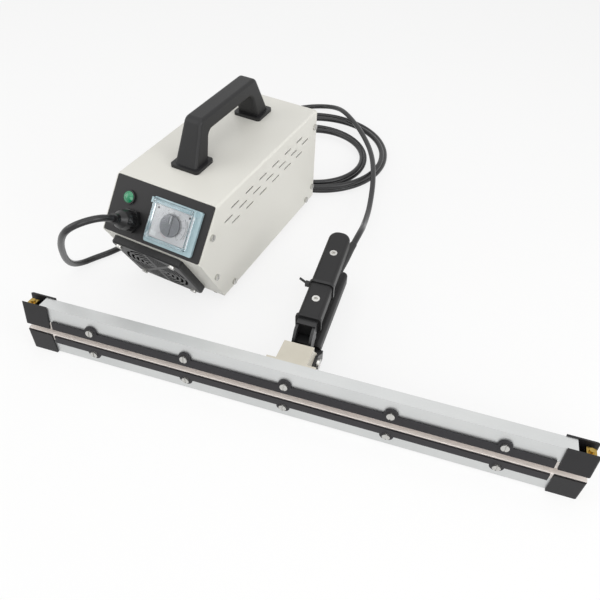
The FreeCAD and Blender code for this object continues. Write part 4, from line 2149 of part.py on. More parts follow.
lower_bracket = make_jaw_bracket(
    LOWER_CHEEK, LOWER_FLANGE_HALF, LOWER_BOLT_U, PIN_RADIUS + PIN_FIXED_FIT
)
upper_bracket = make_jaw_bracket(
    UPPER_CHEEK, UPPER_FLANGE_HALF, UPPER_BOLT_U, PIN_RADIUS + PIN_TURN_FIT
)
save("lower_jaw_bracket", lower_bracket, TOOL_PLACE)
save("upper_jaw_bracket", mirrored(upper_bracket), TOOL_OPEN)
save("upper_bracket_bolts", mirrored(make_bracket_bolts(UPPER_BOLT_U)), TOOL_OPEN)
save("pivot_pin", make_pivot_pin(), TOOL_PLACE)
save("upper_arm", make_upper_arm(), TOOL_PLACE)
save("lower_arm", make_lower_arm(), TOOL_PLACE)
save("upper_grip", make_upper_grip(), TOOL_PLACE)
save("lower_grip", make_lower_grip(), TOOL_PLACE)
save("upper_grip_screws", make_upper_grip_screws(), TOOL_PLACE)
save("lower_grip_screws", make_lower_grip_screws(), TOOL_PLACE)
save("switch_body", make_switch_body(), TOOL_PLACE)
save("switch_plunger", make_switch_plunger(), TOOL_PLACE)
save("cable_tie", make_cable_tie(), TOOL_PLACE)
save("return_spring", make_return_spring(), TOOL_PLACE)
save("cord_sleeve", make_cord_sleeve(), TOOL_PLACE)
save("cord_coil", make_cord_coil(), HOME)
save("cord_front", make_cord("cord_front", front_route()), HOME)
save("cord_tail", make_cord("cord_tail", tail_route()), HOME)
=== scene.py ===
# %% [markdown]
# # A portable impulse heat sealer
#
# The object is a sheet-steel power box with a carry handle, a timer and a fan, and a hand tong
# with two long jaws, joined by one cord. The solid model is loaded as a fixed frame. This script
# gives its pieces their finishes and makes the pieces that a solid model only blocks out: the
# cord, the spring, the non-stick cloths and the printed dial.

# %% Load the frame
import math

import bmesh
import bpy
from mathutils import Matrix, Vector


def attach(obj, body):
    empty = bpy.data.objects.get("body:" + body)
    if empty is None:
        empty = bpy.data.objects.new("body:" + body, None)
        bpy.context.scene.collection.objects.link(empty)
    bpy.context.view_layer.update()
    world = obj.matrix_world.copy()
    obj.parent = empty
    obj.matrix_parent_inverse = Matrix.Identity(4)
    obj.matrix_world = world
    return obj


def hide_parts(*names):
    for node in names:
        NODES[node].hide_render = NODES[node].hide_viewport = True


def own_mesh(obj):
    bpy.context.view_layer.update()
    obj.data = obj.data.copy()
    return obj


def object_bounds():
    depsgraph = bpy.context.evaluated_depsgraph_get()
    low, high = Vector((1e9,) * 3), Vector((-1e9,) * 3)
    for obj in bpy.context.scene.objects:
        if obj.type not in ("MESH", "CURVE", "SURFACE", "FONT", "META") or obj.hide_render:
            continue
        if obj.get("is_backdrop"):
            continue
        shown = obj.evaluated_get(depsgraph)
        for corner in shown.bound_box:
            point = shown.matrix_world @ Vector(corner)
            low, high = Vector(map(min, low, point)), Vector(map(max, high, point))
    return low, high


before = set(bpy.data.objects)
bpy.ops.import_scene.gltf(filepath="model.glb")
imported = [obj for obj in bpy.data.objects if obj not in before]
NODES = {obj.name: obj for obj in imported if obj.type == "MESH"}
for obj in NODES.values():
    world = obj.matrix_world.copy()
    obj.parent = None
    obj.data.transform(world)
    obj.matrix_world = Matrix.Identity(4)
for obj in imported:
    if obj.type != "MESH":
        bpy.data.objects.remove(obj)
CAD_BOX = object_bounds()
MM = 0.001
scene = bpy.context.scene
scene.view_settings.view_transform = "Standard"
print("loaded", len(NODES), "nodes")


def place(axis_x, axis_y, axis_z, origin):
    """A matrix from three directions and an origin in millimetres."""
    columns = Matrix((axis_x, axis_y, axis_z)).transposed().to_4x4()
    columns.translation = Vector(origin) * MM
    return columns


# %% [markdown]
# ## Camera
#
# The photograph was taken from the front right, looking down at about 45 degrees. The camera has
# the place and lens that put the box's straight edges where the photograph has them.

# %% Camera
CAMERA_SPOT = (172.476, -475.999, 542.614)
CAMERA_YAW = 0.446
CAMERA_PITCH = 0.790
CAMERA_ROLL = 0.046
CAMERA_LENS = 37.76

forward = Vector((
    -math.sin(CAMERA_YAW) * math.cos(CAMERA_PITCH),
    math.cos(CAMERA_YAW) * math.cos(CAMERA_PITCH),
    -math.sin(CAMERA_PITCH),
))
level = Vector((math.cos(CAMERA_YAW), math.sin(CAMERA_YAW), 0.0))
raised = level.cross(forward)
right = level * math.cos(CAMERA_ROLL) + raised * math.sin(CAMERA_ROLL)
up = raised * math.cos(CAMERA_ROLL) - level * math.sin(CAMERA_ROLL)
lens = bpy.data.cameras.new("photo_camera")
lens.lens = CAMERA_LENS
lens.sensor_width = 36.0
lens.clip_start = 0.01
lens.clip_end = 50.0
camera = bpy.data.objects.new("photo_camera", lens)
camera.matrix_world = place(right, up, -forward, CAMERA_SPOT)
scene.collection.objects.link(camera)
scene.camera = camera
print("camera at", [round(c, 3) for c in camera.matrix_world.translation])

# %% [markdown]
# ## How a finish is made
#
# A colour is written as the sRGB hex value that the eye sees and turned to the linear light that
# the renderer needs. One function adds a shader node, sets its inputs and joins it to others.
# Patterns read Object coordinates, and their scale is worked out from a size in millimetres.


# %% Colour and node helpers
def linear(hex_colour):
    values = []
    for i in (0, 2, 4):
        share = int(hex_colour[i:i + 2], 16) / 255
        values.append(share / 12.92 if share <= 0.04045 else ((share + 0.055) / 1.055) ** 2.4)
    return (values[0], values[1], values[2], 1.0)


def add(tree, kind, settings=None, links=None):
    made = tree.nodes.new(kind)
    for key, value in (settings or {}).items():
        if isinstance(key, int) or key in made.inputs:
            made.inputs[key].default_value = value
        else:
            setattr(made, key, value)
    for key, source in (links or {}).items():
        tree.links.new(source, made.inputs[key])
    return made


def per_mm(size):
    """Texture scale, in features a metre, of a pattern whose features are size millimetres."""
    return 1000.0 / size


def blank(name):
    material = bpy.data.materials.new(name)
    material.use_nodes = True
    material.node_tree.nodes.clear()
    return material, material.node_tree


def grained(name, colour, shade, grain, depth, rough, spread=0.08, patch=40.0, along=None,
            yaw=0.0, **shader):
    """A surface with a fine grain and slow changes of tone.

    colour and shade are its light and dark tones, grain the size of the texture and depth its
    height, both in millimetres. along stretches the grain by that much on X, turned by yaw.
    """
    material, tree = blank(name)
    spots = add(tree, "ShaderNodeTexCoord").outputs["Object"]
    stretch = (1.0 / along, 1.0, 1.0) if along else (1.0, 1.0, 1.0)
    turned = add(tree, "ShaderNodeMapping", {"Rotation": (0, 0, -yaw)}, {"Vector": spots})
    laid = add(tree, "ShaderNodeMapping", {"Scale": stretch}, {"Vector": turned.outputs[0]})
    fine = add(tree, "ShaderNodeTexNoise", {"Scale": per_mm(grain), "Detail": 3.0},
               {"Vector": laid.outputs[0]})
    slow = add(tree, "ShaderNodeTexNoise", {"Scale": per_mm(patch), "Detail": 2.0},
               {"Vector": spots})
    tone = add(tree, "ShaderNodeMix", {"data_type": "RGBA", 6: linear(shade), 7: linear(colour)},
               {0: slow.outputs["Fac"]})
    gloss = add(tree, "ShaderNodeMapRange", {"To Min": rough - spread, "To Max": rough + spread},
                {"Value": fine.outputs["Fac"]})
    bump = add(tree, "ShaderNodeBump", {"Strength": 1.0, "Distance": depth * MM},
               {"Height": fine.outputs["Fac"]})
    body = add(tree, "ShaderNodeBsdfPrincipled", shader, {
        "Base Color": tone.outputs[2], "Roughness": gloss.outputs[0], "Normal": bump.outputs[0],
    })
    add(tree, "ShaderNodeOutputMaterial", {}, {"Surface": body.outputs[0]})
    return material


# %% [markdown]
# ## Painted and moulded finishes
#
# The box is powder coated: a warm off-white with the faint orange peel of baked powder. The
# handle, grips and caps are moulded ABS, near black with a fine spark-eroded grain that turns
# highlights into soft bands. The cord is PVC, smoother and glossier than the plastics.

# %% Painted and moulded finishes
TOOL_YAW = math.radians(10.0)
SOFT = {"Specular IOR Level": 0.36}
LENS = {"Coat Weight": 0.6}
powder_coat = grained("powder_coat_cream", "E4E3DC", "DCDAD2", 1.6, 0.035, 0.42, patch=90.0)
panel_film = grained("polyester_film_charcoal", "1D1C1D", "181718", 0.5, 0.02, 0.46, patch=25.0,
                     **SOFT)
moulded_abs = grained("abs_moulded_black", "212122", "19191A", 0.7, 0.05, 0.44, patch=30.0,
                      **SOFT)
grip_abs = grained("abs_grip_black", "1A191A", "141415", 0.8, 0.06, 0.46, patch=30.0, **SOFT)
nylon = grained("nylon_black", "161617", "101011", 1.2, 0.02, 0.32, patch=20.0)
cap_abs = grained("phenolic_cap_black", "1A191B", "141315", 0.9, 0.05, 0.48, patch=14.0, **SOFT)
strip_paint = grained("epoxy_paint_charcoal", "242226", "1C1B1E", 0.6, 0.03, 0.5, patch=22.0,
                      **SOFT)
arm_paint = grained("epoxy_paint_black", "1C1C1D", "151516", 1.0, 0.03, 0.38, patch=20.0)
bracket_paint = grained("enamel_stone", "D2CDBF", "C6C0B1", 1.2, 0.03, 0.4, patch=16.0)
pvc = grained("pvc_cord_black", "1B1B1D", "151516", 1.5, 0.02, 0.3, patch=30.0)
shrink = grained("heat_shrink_sleeve_black", "1A1A1B", "141415", 1.0, 0.03, 0.42, patch=12.0)
rubber = grained("rubber_foot_black", "1C1C1C", "161616", 0.6, 0.04, 0.7, patch=9.0)
lamp_green = grained("polycarbonate_green", "0F9160", "0A6F48", 2.2, 0.12, 0.16, patch=4.0,
                     **LENS)
frame_blue = grained("polycarbonate_pale_blue", "A8BEC4", "8DA9B0", 3.0, 0.02, 0.2, patch=14.0,
                     **LENS)
dial_card = grained("printed_card_pale", "DAD7D6", "C9C4C5", 0.8, 0.01, 0.45, patch=9.0)
knob_grey = grained("acrylic_smoke_grey", "77767A", "5C5B5F", 1.5, 0.02, 0.2, patch=5.0)
rocker_red = grained("polycarbonate_red", "A9241C", "861A14", 2.0, 0.02, 0.25, patch=8.0)
dial_ink = grained("screen_ink_grey", "5E5B60", "4E4C50", 0.3, 0.005, 0.5, patch=3.0)
rose_ink = grained("screen_ink_rose", "C08F96", "B27F87", 0.3, 0.005, 0.5, patch=3.0)
white_card = grained("printed_card_white", "F1F0EE", "E6E4E2", 0.8, 0.01, 0.4, patch=4.0)
print("painted and moulded finishes ready")

# %% [markdown]
# ## Painted shade inside the box
#
# The sheet inside the box is given a dark grey painted shade, which stands in for the shade that
# the eye meets through the vent slots. The finish works out how deep a point lies under the
# box's seven outer planes, and changes from powder coat to the painted shade within the sheet.

# %% Painted shade inside the box
PAINTED_SHADE_DEPTH = 0.95  # the bends of the cover reach 0.88 mm under the planes
BOX_PLANES = [
    ((-1, 0, 0), (-267.0, 0, 0)),
    ((1, 0, 0), (-137.0, 0, 0)),
    ((0, 0, 1), (0, 0, 141.6)),
    ((0, 0, -1), (0, 0, 10.0)),
    ((0, 1, 0), (0, 196.5, 0)),
    ((0, -0.78146, 0.62396), (0, -37.5, 141.6)),
    ((0, -0.88902, -0.45784), (0, -37.5, 10.0)),
]
tree = powder_coat.node_tree
spots = add(tree, "ShaderNodeTexCoord").outputs["Object"]
depth = None
for normal, point in BOX_PLANES:
    rise = add(tree, "ShaderNodeVectorMath", {"operation": "DOT_PRODUCT", 1: normal}, {0: spots})
    plane = Vector(normal).dot(Vector(point)) * MM
    under = add(tree, "ShaderNodeMath", {"operation": "SUBTRACT", 0: plane},
                {1: rise.outputs["Value"]}).outputs[0]
    if depth is not None:
        under = add(tree, "ShaderNodeMath", {"operation": "MINIMUM"},
                    {0: depth, 1: under}).outputs[0]
    depth = under
# points deeper than this under the outer planes get the painted shade
inside = add(tree, "ShaderNodeMath", {"operation": "GREATER_THAN", 1: PAINTED_SHADE_DEPTH * MM},
             {0: depth})
shell = next(node for node in tree.nodes if node.type == "BSDF_PRINCIPLED")
coat = shell.inputs["Base Color"].links[0].from_socket
# 2C2D2E is a dark grey painted shade, standing in for the shade seen through the vent slots
sides = add(tree, "ShaderNodeMix", {"data_type": "RGBA", 7: linear("2C2D2E")},
            {0: inside.outputs[0], 6: coat})
tree.links.new(sides.outputs[2], shell.inputs["Base Color"])
print("painted_shade under", len(BOX_PLANES), "planes")

# %% [markdown]
# ## Metals
#
# The jaws are anodised aluminium extrusions. Drawing through the die leaves fine lines along
# their length, so the grain is stretched along the jaws. Screws are zinc plated, terminals bare
# brass, and the transformer is dark lamination steel round an enamelled copper winding.

# %% Metals
METAL = {"Metallic": 1.0}
jaw_metal = grained("aluminium_anodised_satin", "D8D9D8", "C9CBCB", 0.5, 0.02, 0.44, patch=60.0,
                    along=60.0, yaw=TOOL_YAW, **METAL)
zinc = grained("steel_zinc_plated", "D2D1CD", "B9B8B5", 0.5, 0.02, 0.27, patch=3.0, **METAL)
spring_steel = grained("spring_steel_drawn", "A9A9AB", "8F8F92", 0.4, 0.02, 0.3, patch=3.0,
                       **METAL)
brass = grained("brass_bare", "BFA25A", "9F8442", 0.6, 0.02, 0.3, patch=4.0, **METAL)
nichrome = grained("nichrome_band", "8C8480", "6F6864", 0.5, 0.01, 0.36, patch=12.0, **METAL)
lamination = grained("lamination_steel", "5A5D62", "46494E", 0.5, 0.05, 0.45, patch=10.0, **METAL)
copper = grained("copper_enamelled", "A8623A", "8A4C2A", 0.9, 0.08, 0.3, patch=8.0, **METAL)
print("metals ready")

# %% [markdown]
# ## Clear lid and coated cloth
#
# The timer's lid is clear acrylic, so light passes and only the edges and glints show. The cloth
# on the jaws is woven glass coated with PTFE: beige, smooth, with the weave just felt through.

# %% Clear lid and coated cloth
acrylic, tree = blank("acrylic_clear")
spots = add(tree, "ShaderNodeTexCoord").outputs["Object"]
haze = add(tree, "ShaderNodeTexNoise", {"Scale": per_mm(6.0)}, {"Vector": spots})
veil = add(tree, "ShaderNodeMapRange", {"To Min": 0.02, "To Max": 0.08},
           {"Value": haze.outputs["Fac"]})
clear = add(tree, "ShaderNodeBsdfPrincipled", {
    "Base Color": linear("F4F8FA"), "IOR": 1.49, "Transmission Weight": 1.0,
}, {"Roughness": veil.outputs[0]})
add(tree, "ShaderNodeOutputMaterial", {}, {"Surface": clear.outputs[0]})

THREAD = 1.1  # the real weave is about 0.4 mm; drawn coarser so that it shows
WAVE_RATE = 20.0  # the wave texture multiplies its scale by this
ptfe, tree = blank("ptfe_coated_glass_cloth")
spots = add(tree, "ShaderNodeTexCoord").outputs["Object"]
laid = add(tree, "ShaderNodeMapping", {"Rotation": (0, 0, -TOOL_YAW)}, {"Vector": spots})
waves = []
for direction in ("X", "Y"):
    waves.append(add(tree, "ShaderNodeTexWave", {
        "bands_direction": direction, "Scale": per_mm(THREAD) / WAVE_RATE, "Distortion": 0.4,
    }, {"Vector": laid.outputs[0]}))
weave = add(tree, "ShaderNodeMath", {"operation": "ADD"},
            {0: waves[0].outputs["Fac"], 1: waves[1].outputs["Fac"]})
bump = add(tree, "ShaderNodeBump", {"Strength": 0.6, "Distance": 0.05 * MM},
           {"Height": weave.outputs[0]})
stain = add(tree, "ShaderNodeTexNoise", {"Scale": per_mm(30.0), "Detail": 3.0}, {"Vector": spots})
tone = add(tree, "ShaderNodeMix", {
    "data_type": "RGBA", 6: linear("D9D1CB"), 7: linear("E6E0DB"),
}, {0: stain.outputs["Fac"]})
cloth = add(tree, "ShaderNodeBsdfPrincipled", {"Roughness": 0.42, "Sheen Weight": 0.15},
            {"Base Color": tone.outputs[2], "Normal": bump.outputs[0]})
add(tree, "ShaderNodeOutputMaterial", {}, {"Surface": cloth.outputs[0]})
print("clear lid and cloth ready")

# %% [markdown]
# ## Dressing the solid pieces
#
# Each solid keeps its shape and takes the finish of its real material.

# %% Dress the solids
DRESS = {
    powder_coat: ("housing_cover", "chassis", "rear_panel"),
    panel_film: ("control_panel",),
    moulded_abs: ("carry_handle", "fan_guard", "fan_frame", "fan_impeller", "power_relay",
                  "mains_inlet", "rocker_housing", "lamp_body"),
    grip_abs: ("upper_grip", "lower_grip", "switch_body"),
    nylon: ("gland_body", "gland_nut", "cable_tie"),
    cap_abs: ("lower_end_caps", "upper_end_caps"),
    strip_paint: ("lower_clamp_strips", "upper_clamp_strips"),
    arm_paint: ("upper_arm", "lower_arm"),
    bracket_paint: ("lower_jaw_bracket", "upper_jaw_bracket"),
    rubber: ("rubber_feet",),
    lamp_green: ("lamp_lens",),
    frame_blue: ("timer_frame",),
    dial_card: ("timer_body",),
    knob_grey: ("timer_knob",),
    acrylic: ("timer_cover",),
    rocker_red: ("rocker_button", "switch_plunger"),
    jaw_metal: ("lower_jaw_bar", "upper_jaw_bar"),
    zinc: ("m4_screws", "m5_bolts", "fan_screws", "panel_nuts", "lower_strip_screws",
           "upper_strip_screws", "upper_bracket_bolts", "upper_grip_screws",
           "lower_grip_screws", "pivot_pin"),
    brass: ("lower_terminals", "upper_terminals"),
    nichrome: ("lower_heating_band", "upper_heating_band"),
    lamination: ("transformer_core",),
    copper: ("transformer_winding",),
}
for material, names in DRESS.items():
    for name in names:
        NODES[name].data.materials.clear()
        NODES[name].data.materials.append(material)
print("dressed", sum(len(names) for names in DRESS.values()), "solids")

# %% [markdown]
# ## Cord
#
# One PVC cord leaves the gland, falls in a loop beside the box, lies along the floor into four
# loose loops behind it, and rises to the tong. A NURBS spline with few control points sags and
# bends as a cord does. The loops come from a formula: a spiral that steps in, climbs one layer
# and steps out again.

# %% Cord
CORD_RADIUS = 3.75
COIL_X = -185.0
COIL_Y = 315.0
COIL_START = 115.0
COIL_END = 113.0
COIL_STEP = 26.0
COIL_LEAN = 0.60
COIL_EASE = 0.25
COIL_LAYER = 8.3
COIL_TURNS = 4
TURN_POINTS = 20
FRONT_ROUTE = [
    (-232.5, -93.15, 126.4), (-232.5, -102.52, 133.89), (-236.3, -113.0, 138.1),
    (-243.2, -122.9, 138.2), (-251.9, -130.1, 134.2), (-260.8, -133.4, 126.8),
    (-272.0, -131.6, 112.8), (-285.0, -125.5, 92.0), (-297.5, -116.5, 69.5),
    (-309.0, -106.5, 47.5), (-317.5, -96.0, 29.0), (-323.5, -84.0, 14.5),
    (-325.0, -70.0, 5.6), (-320.0, -54.5, 3.75), (-309.5, -36.0, 3.75),
    (-300.5, -11.0, 3.75), (-295.0, 26.0, 3.75), (-292.5, 68.0, 3.75),
    (-292.7, 112.0, 3.75), (-294.5, 154.0, 3.75), (-297.5, 195.0, 3.75),
    (-299.6, 232.0, 3.75), (-300.0, 270.0, 3.75),
]
TAIL_ROUTE = [
    (-298.0, 336.0, 12.05), (-297.0, 357.0, 11.6), (-292.5, 381.0, 9.0), (-283.5, 403.0, 5.5),
    (-270.5, 422.5, 3.9), (-253.5, 437.5, 4.1), (-232.0, 443.5, 7.0), (-210.5, 434.5, 14.5),
    (-190.0, 418.0, 21.5), (-167.0, 398.0, 23.2), (-144.0, 376.0, 23.4), (-123.0, 352.0, 23.4),
    (-104.5, 327.5, 23.3), (-89.0, 301.0, 23.2), (-76.5, 273.5, 22.6), (-65.5, 245.5, 21.0),
    (-56.0, 216.5, 20.0), (-47.5, 188.0, 21.5), (-40.5, 160.0, 27.5), (-34.0, 134.0, 38.0),
    (-28.9, 117.5, 48.6), (-24.49, 96.87, 57.08), (-23.35, 75.0, 54.95),
]


def coil_share(turns):
    """How far the spiral has stepped in after some turns, eased at both ends."""
    half = COIL_TURNS / 2
    if turns < COIL_EASE:
        return turns * turns / (2 * COIL_EASE)
    if turns < half - COIL_EASE:
        return turns - COIL_EASE / 2
    left = half - turns
    return half - COIL_EASE - left * left / (2 * COIL_EASE)


def coil_point(turns):
    half = COIL_TURNS / 2
    inner = COIL_START - COIL_STEP * coil_share(half)
    if turns <= half:
        radius = COIL_START - COIL_STEP * coil_share(turns)
    else:
        share = coil_share(COIL_TURNS - turns) / coil_share(half)
        radius = COIL_END - (COIL_END - inner) * share
    angle = math.pi - 2 * math.pi * turns
    climb = min(1.0, max(0.0, (turns - half + 0.25) / 0.5))
    climb = climb * climb * (3 - 2 * climb)
    middle = COIL_Y - COIL_LEAN * (COIL_START - radius)
    return (COIL_X + radius * math.cos(angle), middle + radius * math.sin(angle),
            CORD_RADIUS + COIL_LAYER * climb)


coil_route = [coil_point(i / TURN_POINTS) for i in range(COIL_TURNS * TURN_POINTS + 1)]
cord_route = FRONT_ROUTE + coil_route + TAIL_ROUTE
line = bpy.data.curves.new("sealer_cord", "CURVE")
line.dimensions = "3D"
line.bevel_depth = CORD_RADIUS * MM
line.bevel_resolution = 5
line.resolution_u = 6
line.use_fill_caps = True
spline = line.splines.new("NURBS")
spline.points.add(len(cord_route) - 1)
for point, (x, y, z) in zip(spline.points, cord_route):
    point.co = (x * MM, y * MM, z * MM, 1.0)
spline.order_u = 3
spline.use_endpoint_u = True
line.materials.append(pvc)
cord = bpy.data.objects.new("sealer_cord", line)
scene.collection.objects.link(cord)
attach(cord, "base")
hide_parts("cord_front", "cord_coil", "cord_tail")
print("cord of", len(cord_route), "points")

# %% [markdown]
# ## Making plain meshes
#
# A curve, a text or a mesh with modifiers is worked on in whatever place is handy, and then made
# a plain mesh whose place is in its points. Small turned pieces are lathed: a profile of radius
# and height is swept round an axis.

# %% Plain meshes and lathed pieces
WELD = 1e-7


def baked(draft):
    """The draft's mesh with modifiers and place applied; the draft itself is removed."""
    bpy.context.view_layer.update()
    ready = draft.evaluated_get(bpy.context.evaluated_depsgraph_get())
    mesh = bpy.data.meshes.new_from_object(ready)
    mesh.transform(draft.matrix_world)
    bpy.data.objects.remove(draft)
    return mesh


def plain(draft, body):
    """The draft object as a finished mesh piece that rides on body."""
    name = draft.name
    mesh = baked(draft)
    mesh.name = name
    piece = bpy.data.objects.new(name, mesh)
    scene.collection.objects.link(piece)
    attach(piece, body)
    print(name, "has", len(mesh.polygons), "faces")
    return piece


def draft_from(name, shape, matrix, material):
    """An object for a bmesh, placed by matrix."""
    bmesh.ops.remove_doubles(shape, verts=shape.verts, dist=WELD)
    mesh = bpy.data.meshes.new(name)
    shape.to_mesh(mesh)
    shape.free()
    mesh.materials.append(material)
    draft = bpy.data.objects.new(name, mesh)
    draft.matrix_world = matrix
    scene.collection.objects.link(draft)
    return draft


def lathe(shape, profile, steps=40, offset=(0, 0, 0)):
    """Sweep a profile of (radius, height) in millimetres round Z; it starts and ends on the axis."""
    rings = []
    for radius, height in profile:
        ring = []
        for i in range(steps):
            angle = 2 * math.pi * i / steps
            spot = Vector((radius * math.cos(angle), radius * math.sin(angle), height))
            ring.append(shape.verts.new((spot + Vector(offset)) * MM))
        rings.append(ring)
    for low, high in zip(rings, rings[1:]):
        for i in range(steps):
            j = (i + 1) % steps
            face = shape.faces.new((low[i], low[j], high[j], high[i]))
            face.smooth = True


# %% [markdown]
# ## Sleeve of the cord
#
# At the tong the cord goes into a tapered heat-shrink boot, and its stripped lead runs on along
# the grip under the cable tie. Both lie on one straight axis, so one lathed profile makes them.
# The mouth flares a little, as shrunk tube does at a cut end.

# %% Sleeve of the cord
SLEEVE_REAR = Vector((-23.35, 75.0, 54.95))
SLEEVE_FRONT = Vector((-17.26, -41.86, 43.56))
run = SLEEVE_FRONT - SLEEVE_REAR
SLEEVE_PROFILE = [
    (0.0, 0.0), (3.9, 0.0), (4.4, 0.3), (4.5, 1.0), (4.35, 2.4), (4.42, 8.0), (4.65, 14.0),
    (4.95, 21.0), (5.18, 27.0), (5.2, 36.0), (5.2, 45.4), (4.95, 46.6), (4.3, 47.0), (3.75, 47.2),
    (3.75, run.length - 0.4), (3.4, run.length), (0.0, run.length),
]
shape = bmesh.new()
lathe(shape, SLEEVE_PROFILE)
along = run.normalized()
side = along.orthogonal().normalized()
axis = place(side, along.cross(side), along, SLEEVE_REAR)
sleeve = plain(draft_from("cord_boot", shape, axis, shrink), "base")
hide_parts("cord_sleeve")

# %% [markdown]
# ## Non-stick cloths
#
# A strip of PTFE-coated glass cloth is pulled over each jaw's edge and held by the dark strips on
# both sides. It is a folded sheet: one profile, rounded at the two edges, drawn along the jaw.
# Past the strips only the top web goes on, over the end caps. The upper cloth is the lower one
# mirrored, and turned open about the pivot pin with its jaw.

# %% Non-stick cloths
JAW_OPEN = math.radians(8.5)
JAW_DEPTH = 15.0
PIVOT_V = 52.0
PIVOT_W = 28.85
SKIRT_LOW = 20.0
CLOTH_TOP = 28.7
CLOTH_PROUD = 0.3
CLOTH_EDGE = 0.8
CLOTH_THICK = 0.3
SADDLE_HALF = 261.2
WEB_HALF = 290.5
EDGE_STEPS = 6
ALONG_STEPS = 60
tool = place((math.cos(TOOL_YAW), math.sin(TOOL_YAW), 0),
             (-math.sin(TOOL_YAW), math.cos(TOOL_YAW), 0), (0, 0, 1), (2.0, -146.5, 0))
pivot = Matrix.Translation(Vector((0, PIVOT_V, PIVOT_W)) * MM)
opened = tool @ pivot @ Matrix.Rotation(-JAW_OPEN, 4, "X") @ pivot.inverted()

front = [(-CLOTH_PROUD, SKIRT_LOW)]
for i in range(EDGE_STEPS + 1):
    angle = math.pi * (1 - i / EDGE_STEPS / 2)
    front.append((CLOTH_EDGE - CLOTH_PROUD + CLOTH_EDGE * math.cos(angle),
                  CLOTH_TOP - CLOTH_EDGE + CLOTH_EDGE * math.sin(angle)))
fold = front + [(JAW_DEPTH - v, w) for v, w in reversed(front)]
stations = [-SADDLE_HALF + 2 * SADDLE_HALF * i / ALONG_STEPS for i in range(ALONG_STEPS + 1)]
stations = [-WEB_HALF] + stations + [WEB_HALF]


def cloth(name, body, matrix, mirrored):
    shape = bmesh.new()
    rows = []
    for u in stations:
        row = []
        for v, w in fold:
            height = 2 * PIVOT_W - w if mirrored else w
            row.append(shape.verts.new(Vector((u, v, height)) * MM))
        rows.append(row)
    for i in range(len(rows) - 1):
        ends = i in (0, len(rows) - 2)
        for j in range(len(fold) - 1):
            if ends and min(fold[j][1], fold[j + 1][1]) < CLOTH_TOP - CLOTH_THICK:
                continue
            corners = [rows[i][j], rows[i + 1][j], rows[i + 1][j + 1], rows[i][j + 1]]
            shape.faces.new(corners[::-1] if mirrored else corners)
    loose = [vert for vert in shape.verts if not vert.link_faces]
    bmesh.ops.delete(shape, geom=loose, context="VERTS")
    draft = draft_from(name, shape, matrix, ptfe)
    wall = draft.modifiers.new("thickness", "SOLIDIFY")
    wall.thickness = CLOTH_THICK * MM
    wall.offset = -1.0
    return plain(draft, body)


for jaw, body, matrix in (("lower", "base", tool), ("upper", "upper_jaw", opened)):
    piece = cloth(jaw + "_cloth", body, matrix, jaw == "upper")
    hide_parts(jaw + "_ptfe_cloth")

# %% [markdown]
# ## Pieces that follow a rule
#
# The spring, the dial's ticks and the knob's ribs each repeat one thing by a rule, so Geometry
# Nodes make them. Every tree has named inputs for its sizes and ends with real geometry and a
# material, and its result is then made a plain mesh.


# %% Node trees
def node_rule(name, labels):
    """A new tree with these inputs, and the sockets that give them."""
    tree = bpy.data.node_groups.new(name, "GeometryNodeTree")
    for label in labels:
        kind = "NodeSocketInt" if label == "Count" else "NodeSocketFloat"
        tree.interface.new_socket(label, in_out="INPUT", socket_type=kind)
    tree.interface.new_socket("Geometry", in_out="OUTPUT", socket_type="NodeSocketGeometry")
    return tree, add(tree, "NodeGroupInput").outputs


def end_rule(tree, geometry, material):
    real = add(tree, "GeometryNodeRealizeInstances", {}, {0: geometry})
    dressed = add(tree, "GeometryNodeSetMaterial", {"Material": material}, {0: real.outputs[0]})
    add(tree, "NodeGroupOutput", {}, {0: dressed.outputs[0]})


def run_rule(name, tree, values, matrix):
    """An object that carries the tree with these values, in millimetres where they are lengths."""
    draft = bpy.data.objects.new(name, bpy.data.meshes.new(name))
    draft.matrix_world = matrix
    scene.collection.objects.link(draft)
    rule = draft.modifiers.new("rule", "NODES")
    rule.node_group = tree
    for socket in tree.interface.items_tree:
        if socket.in_out == "INPUT":
            rule[socket.identifier] = values[socket.name]
    return draft


# %% [markdown]
# ## Return spring
#
# A spring of drawn steel wire stands between the two arms and opens the tong. It has five open
# turns and one closed turn at each end, where it sits flat. When the tong shuts it only shortens,
# along its own axis.

# %% Return spring
SPRING_SPOT = (-9.88, -79.14, 19.8)
SPRING_HEIGHT = 21.9
SPRING_RADIUS = 6.0
SPRING_WIRE = 0.8
SPRING_TURNS = 5.0
CLOSED_RISE = 2.0  # of a closed end turn, in wire radii
OPEN_START = 3.0  # height at which the open turns start, in wire radii
tree, given = node_rule("coil_spring", ["Turns", "Radius", "Height", "Wire"])
closed = add(tree, "ShaderNodeMath", {"operation": "MULTIPLY", 1: CLOSED_RISE}, {0: given["Wire"]})
active = add(tree, "ShaderNodeMath", {"operation": "MULTIPLY_ADD", 1: -2 * OPEN_START},
             {0: given["Wire"], 2: given["Height"]})
second = add(tree, "ShaderNodeMath", {"operation": "MULTIPLY", 1: OPEN_START}, {0: given["Wire"]})
third = add(tree, "ShaderNodeMath", {"operation": "MULTIPLY_ADD", 1: -OPEN_START},
            {0: given["Wire"], 2: given["Height"]})
joined = add(tree, "GeometryNodeJoinGeometry")
for start, height, turns in ((given["Wire"], closed.outputs[0], None),
                             (second.outputs[0], active.outputs[0], given["Turns"]),
                             (third.outputs[0], closed.outputs[0], None)):
    links = {"Start Radius": given["Radius"], "End Radius": given["Radius"], "Height": height}
    if turns is not None:
        links["Rotations"] = turns
    coil = add(tree, "GeometryNodeCurveSpiral", {"Resolution": 28, "Rotations": 1.0}, links)
    up = add(tree, "ShaderNodeCombineXYZ", {}, {"Z": start})
    moved = add(tree, "GeometryNodeTransform", {},
                {"Geometry": coil.outputs[0], "Translation": up.outputs[0]})
    tree.links.new(moved.outputs[0], joined.inputs[0])
wire = add(tree, "GeometryNodeCurvePrimitiveCircle", {"Resolution": 12}, {"Radius": given["Wire"]})
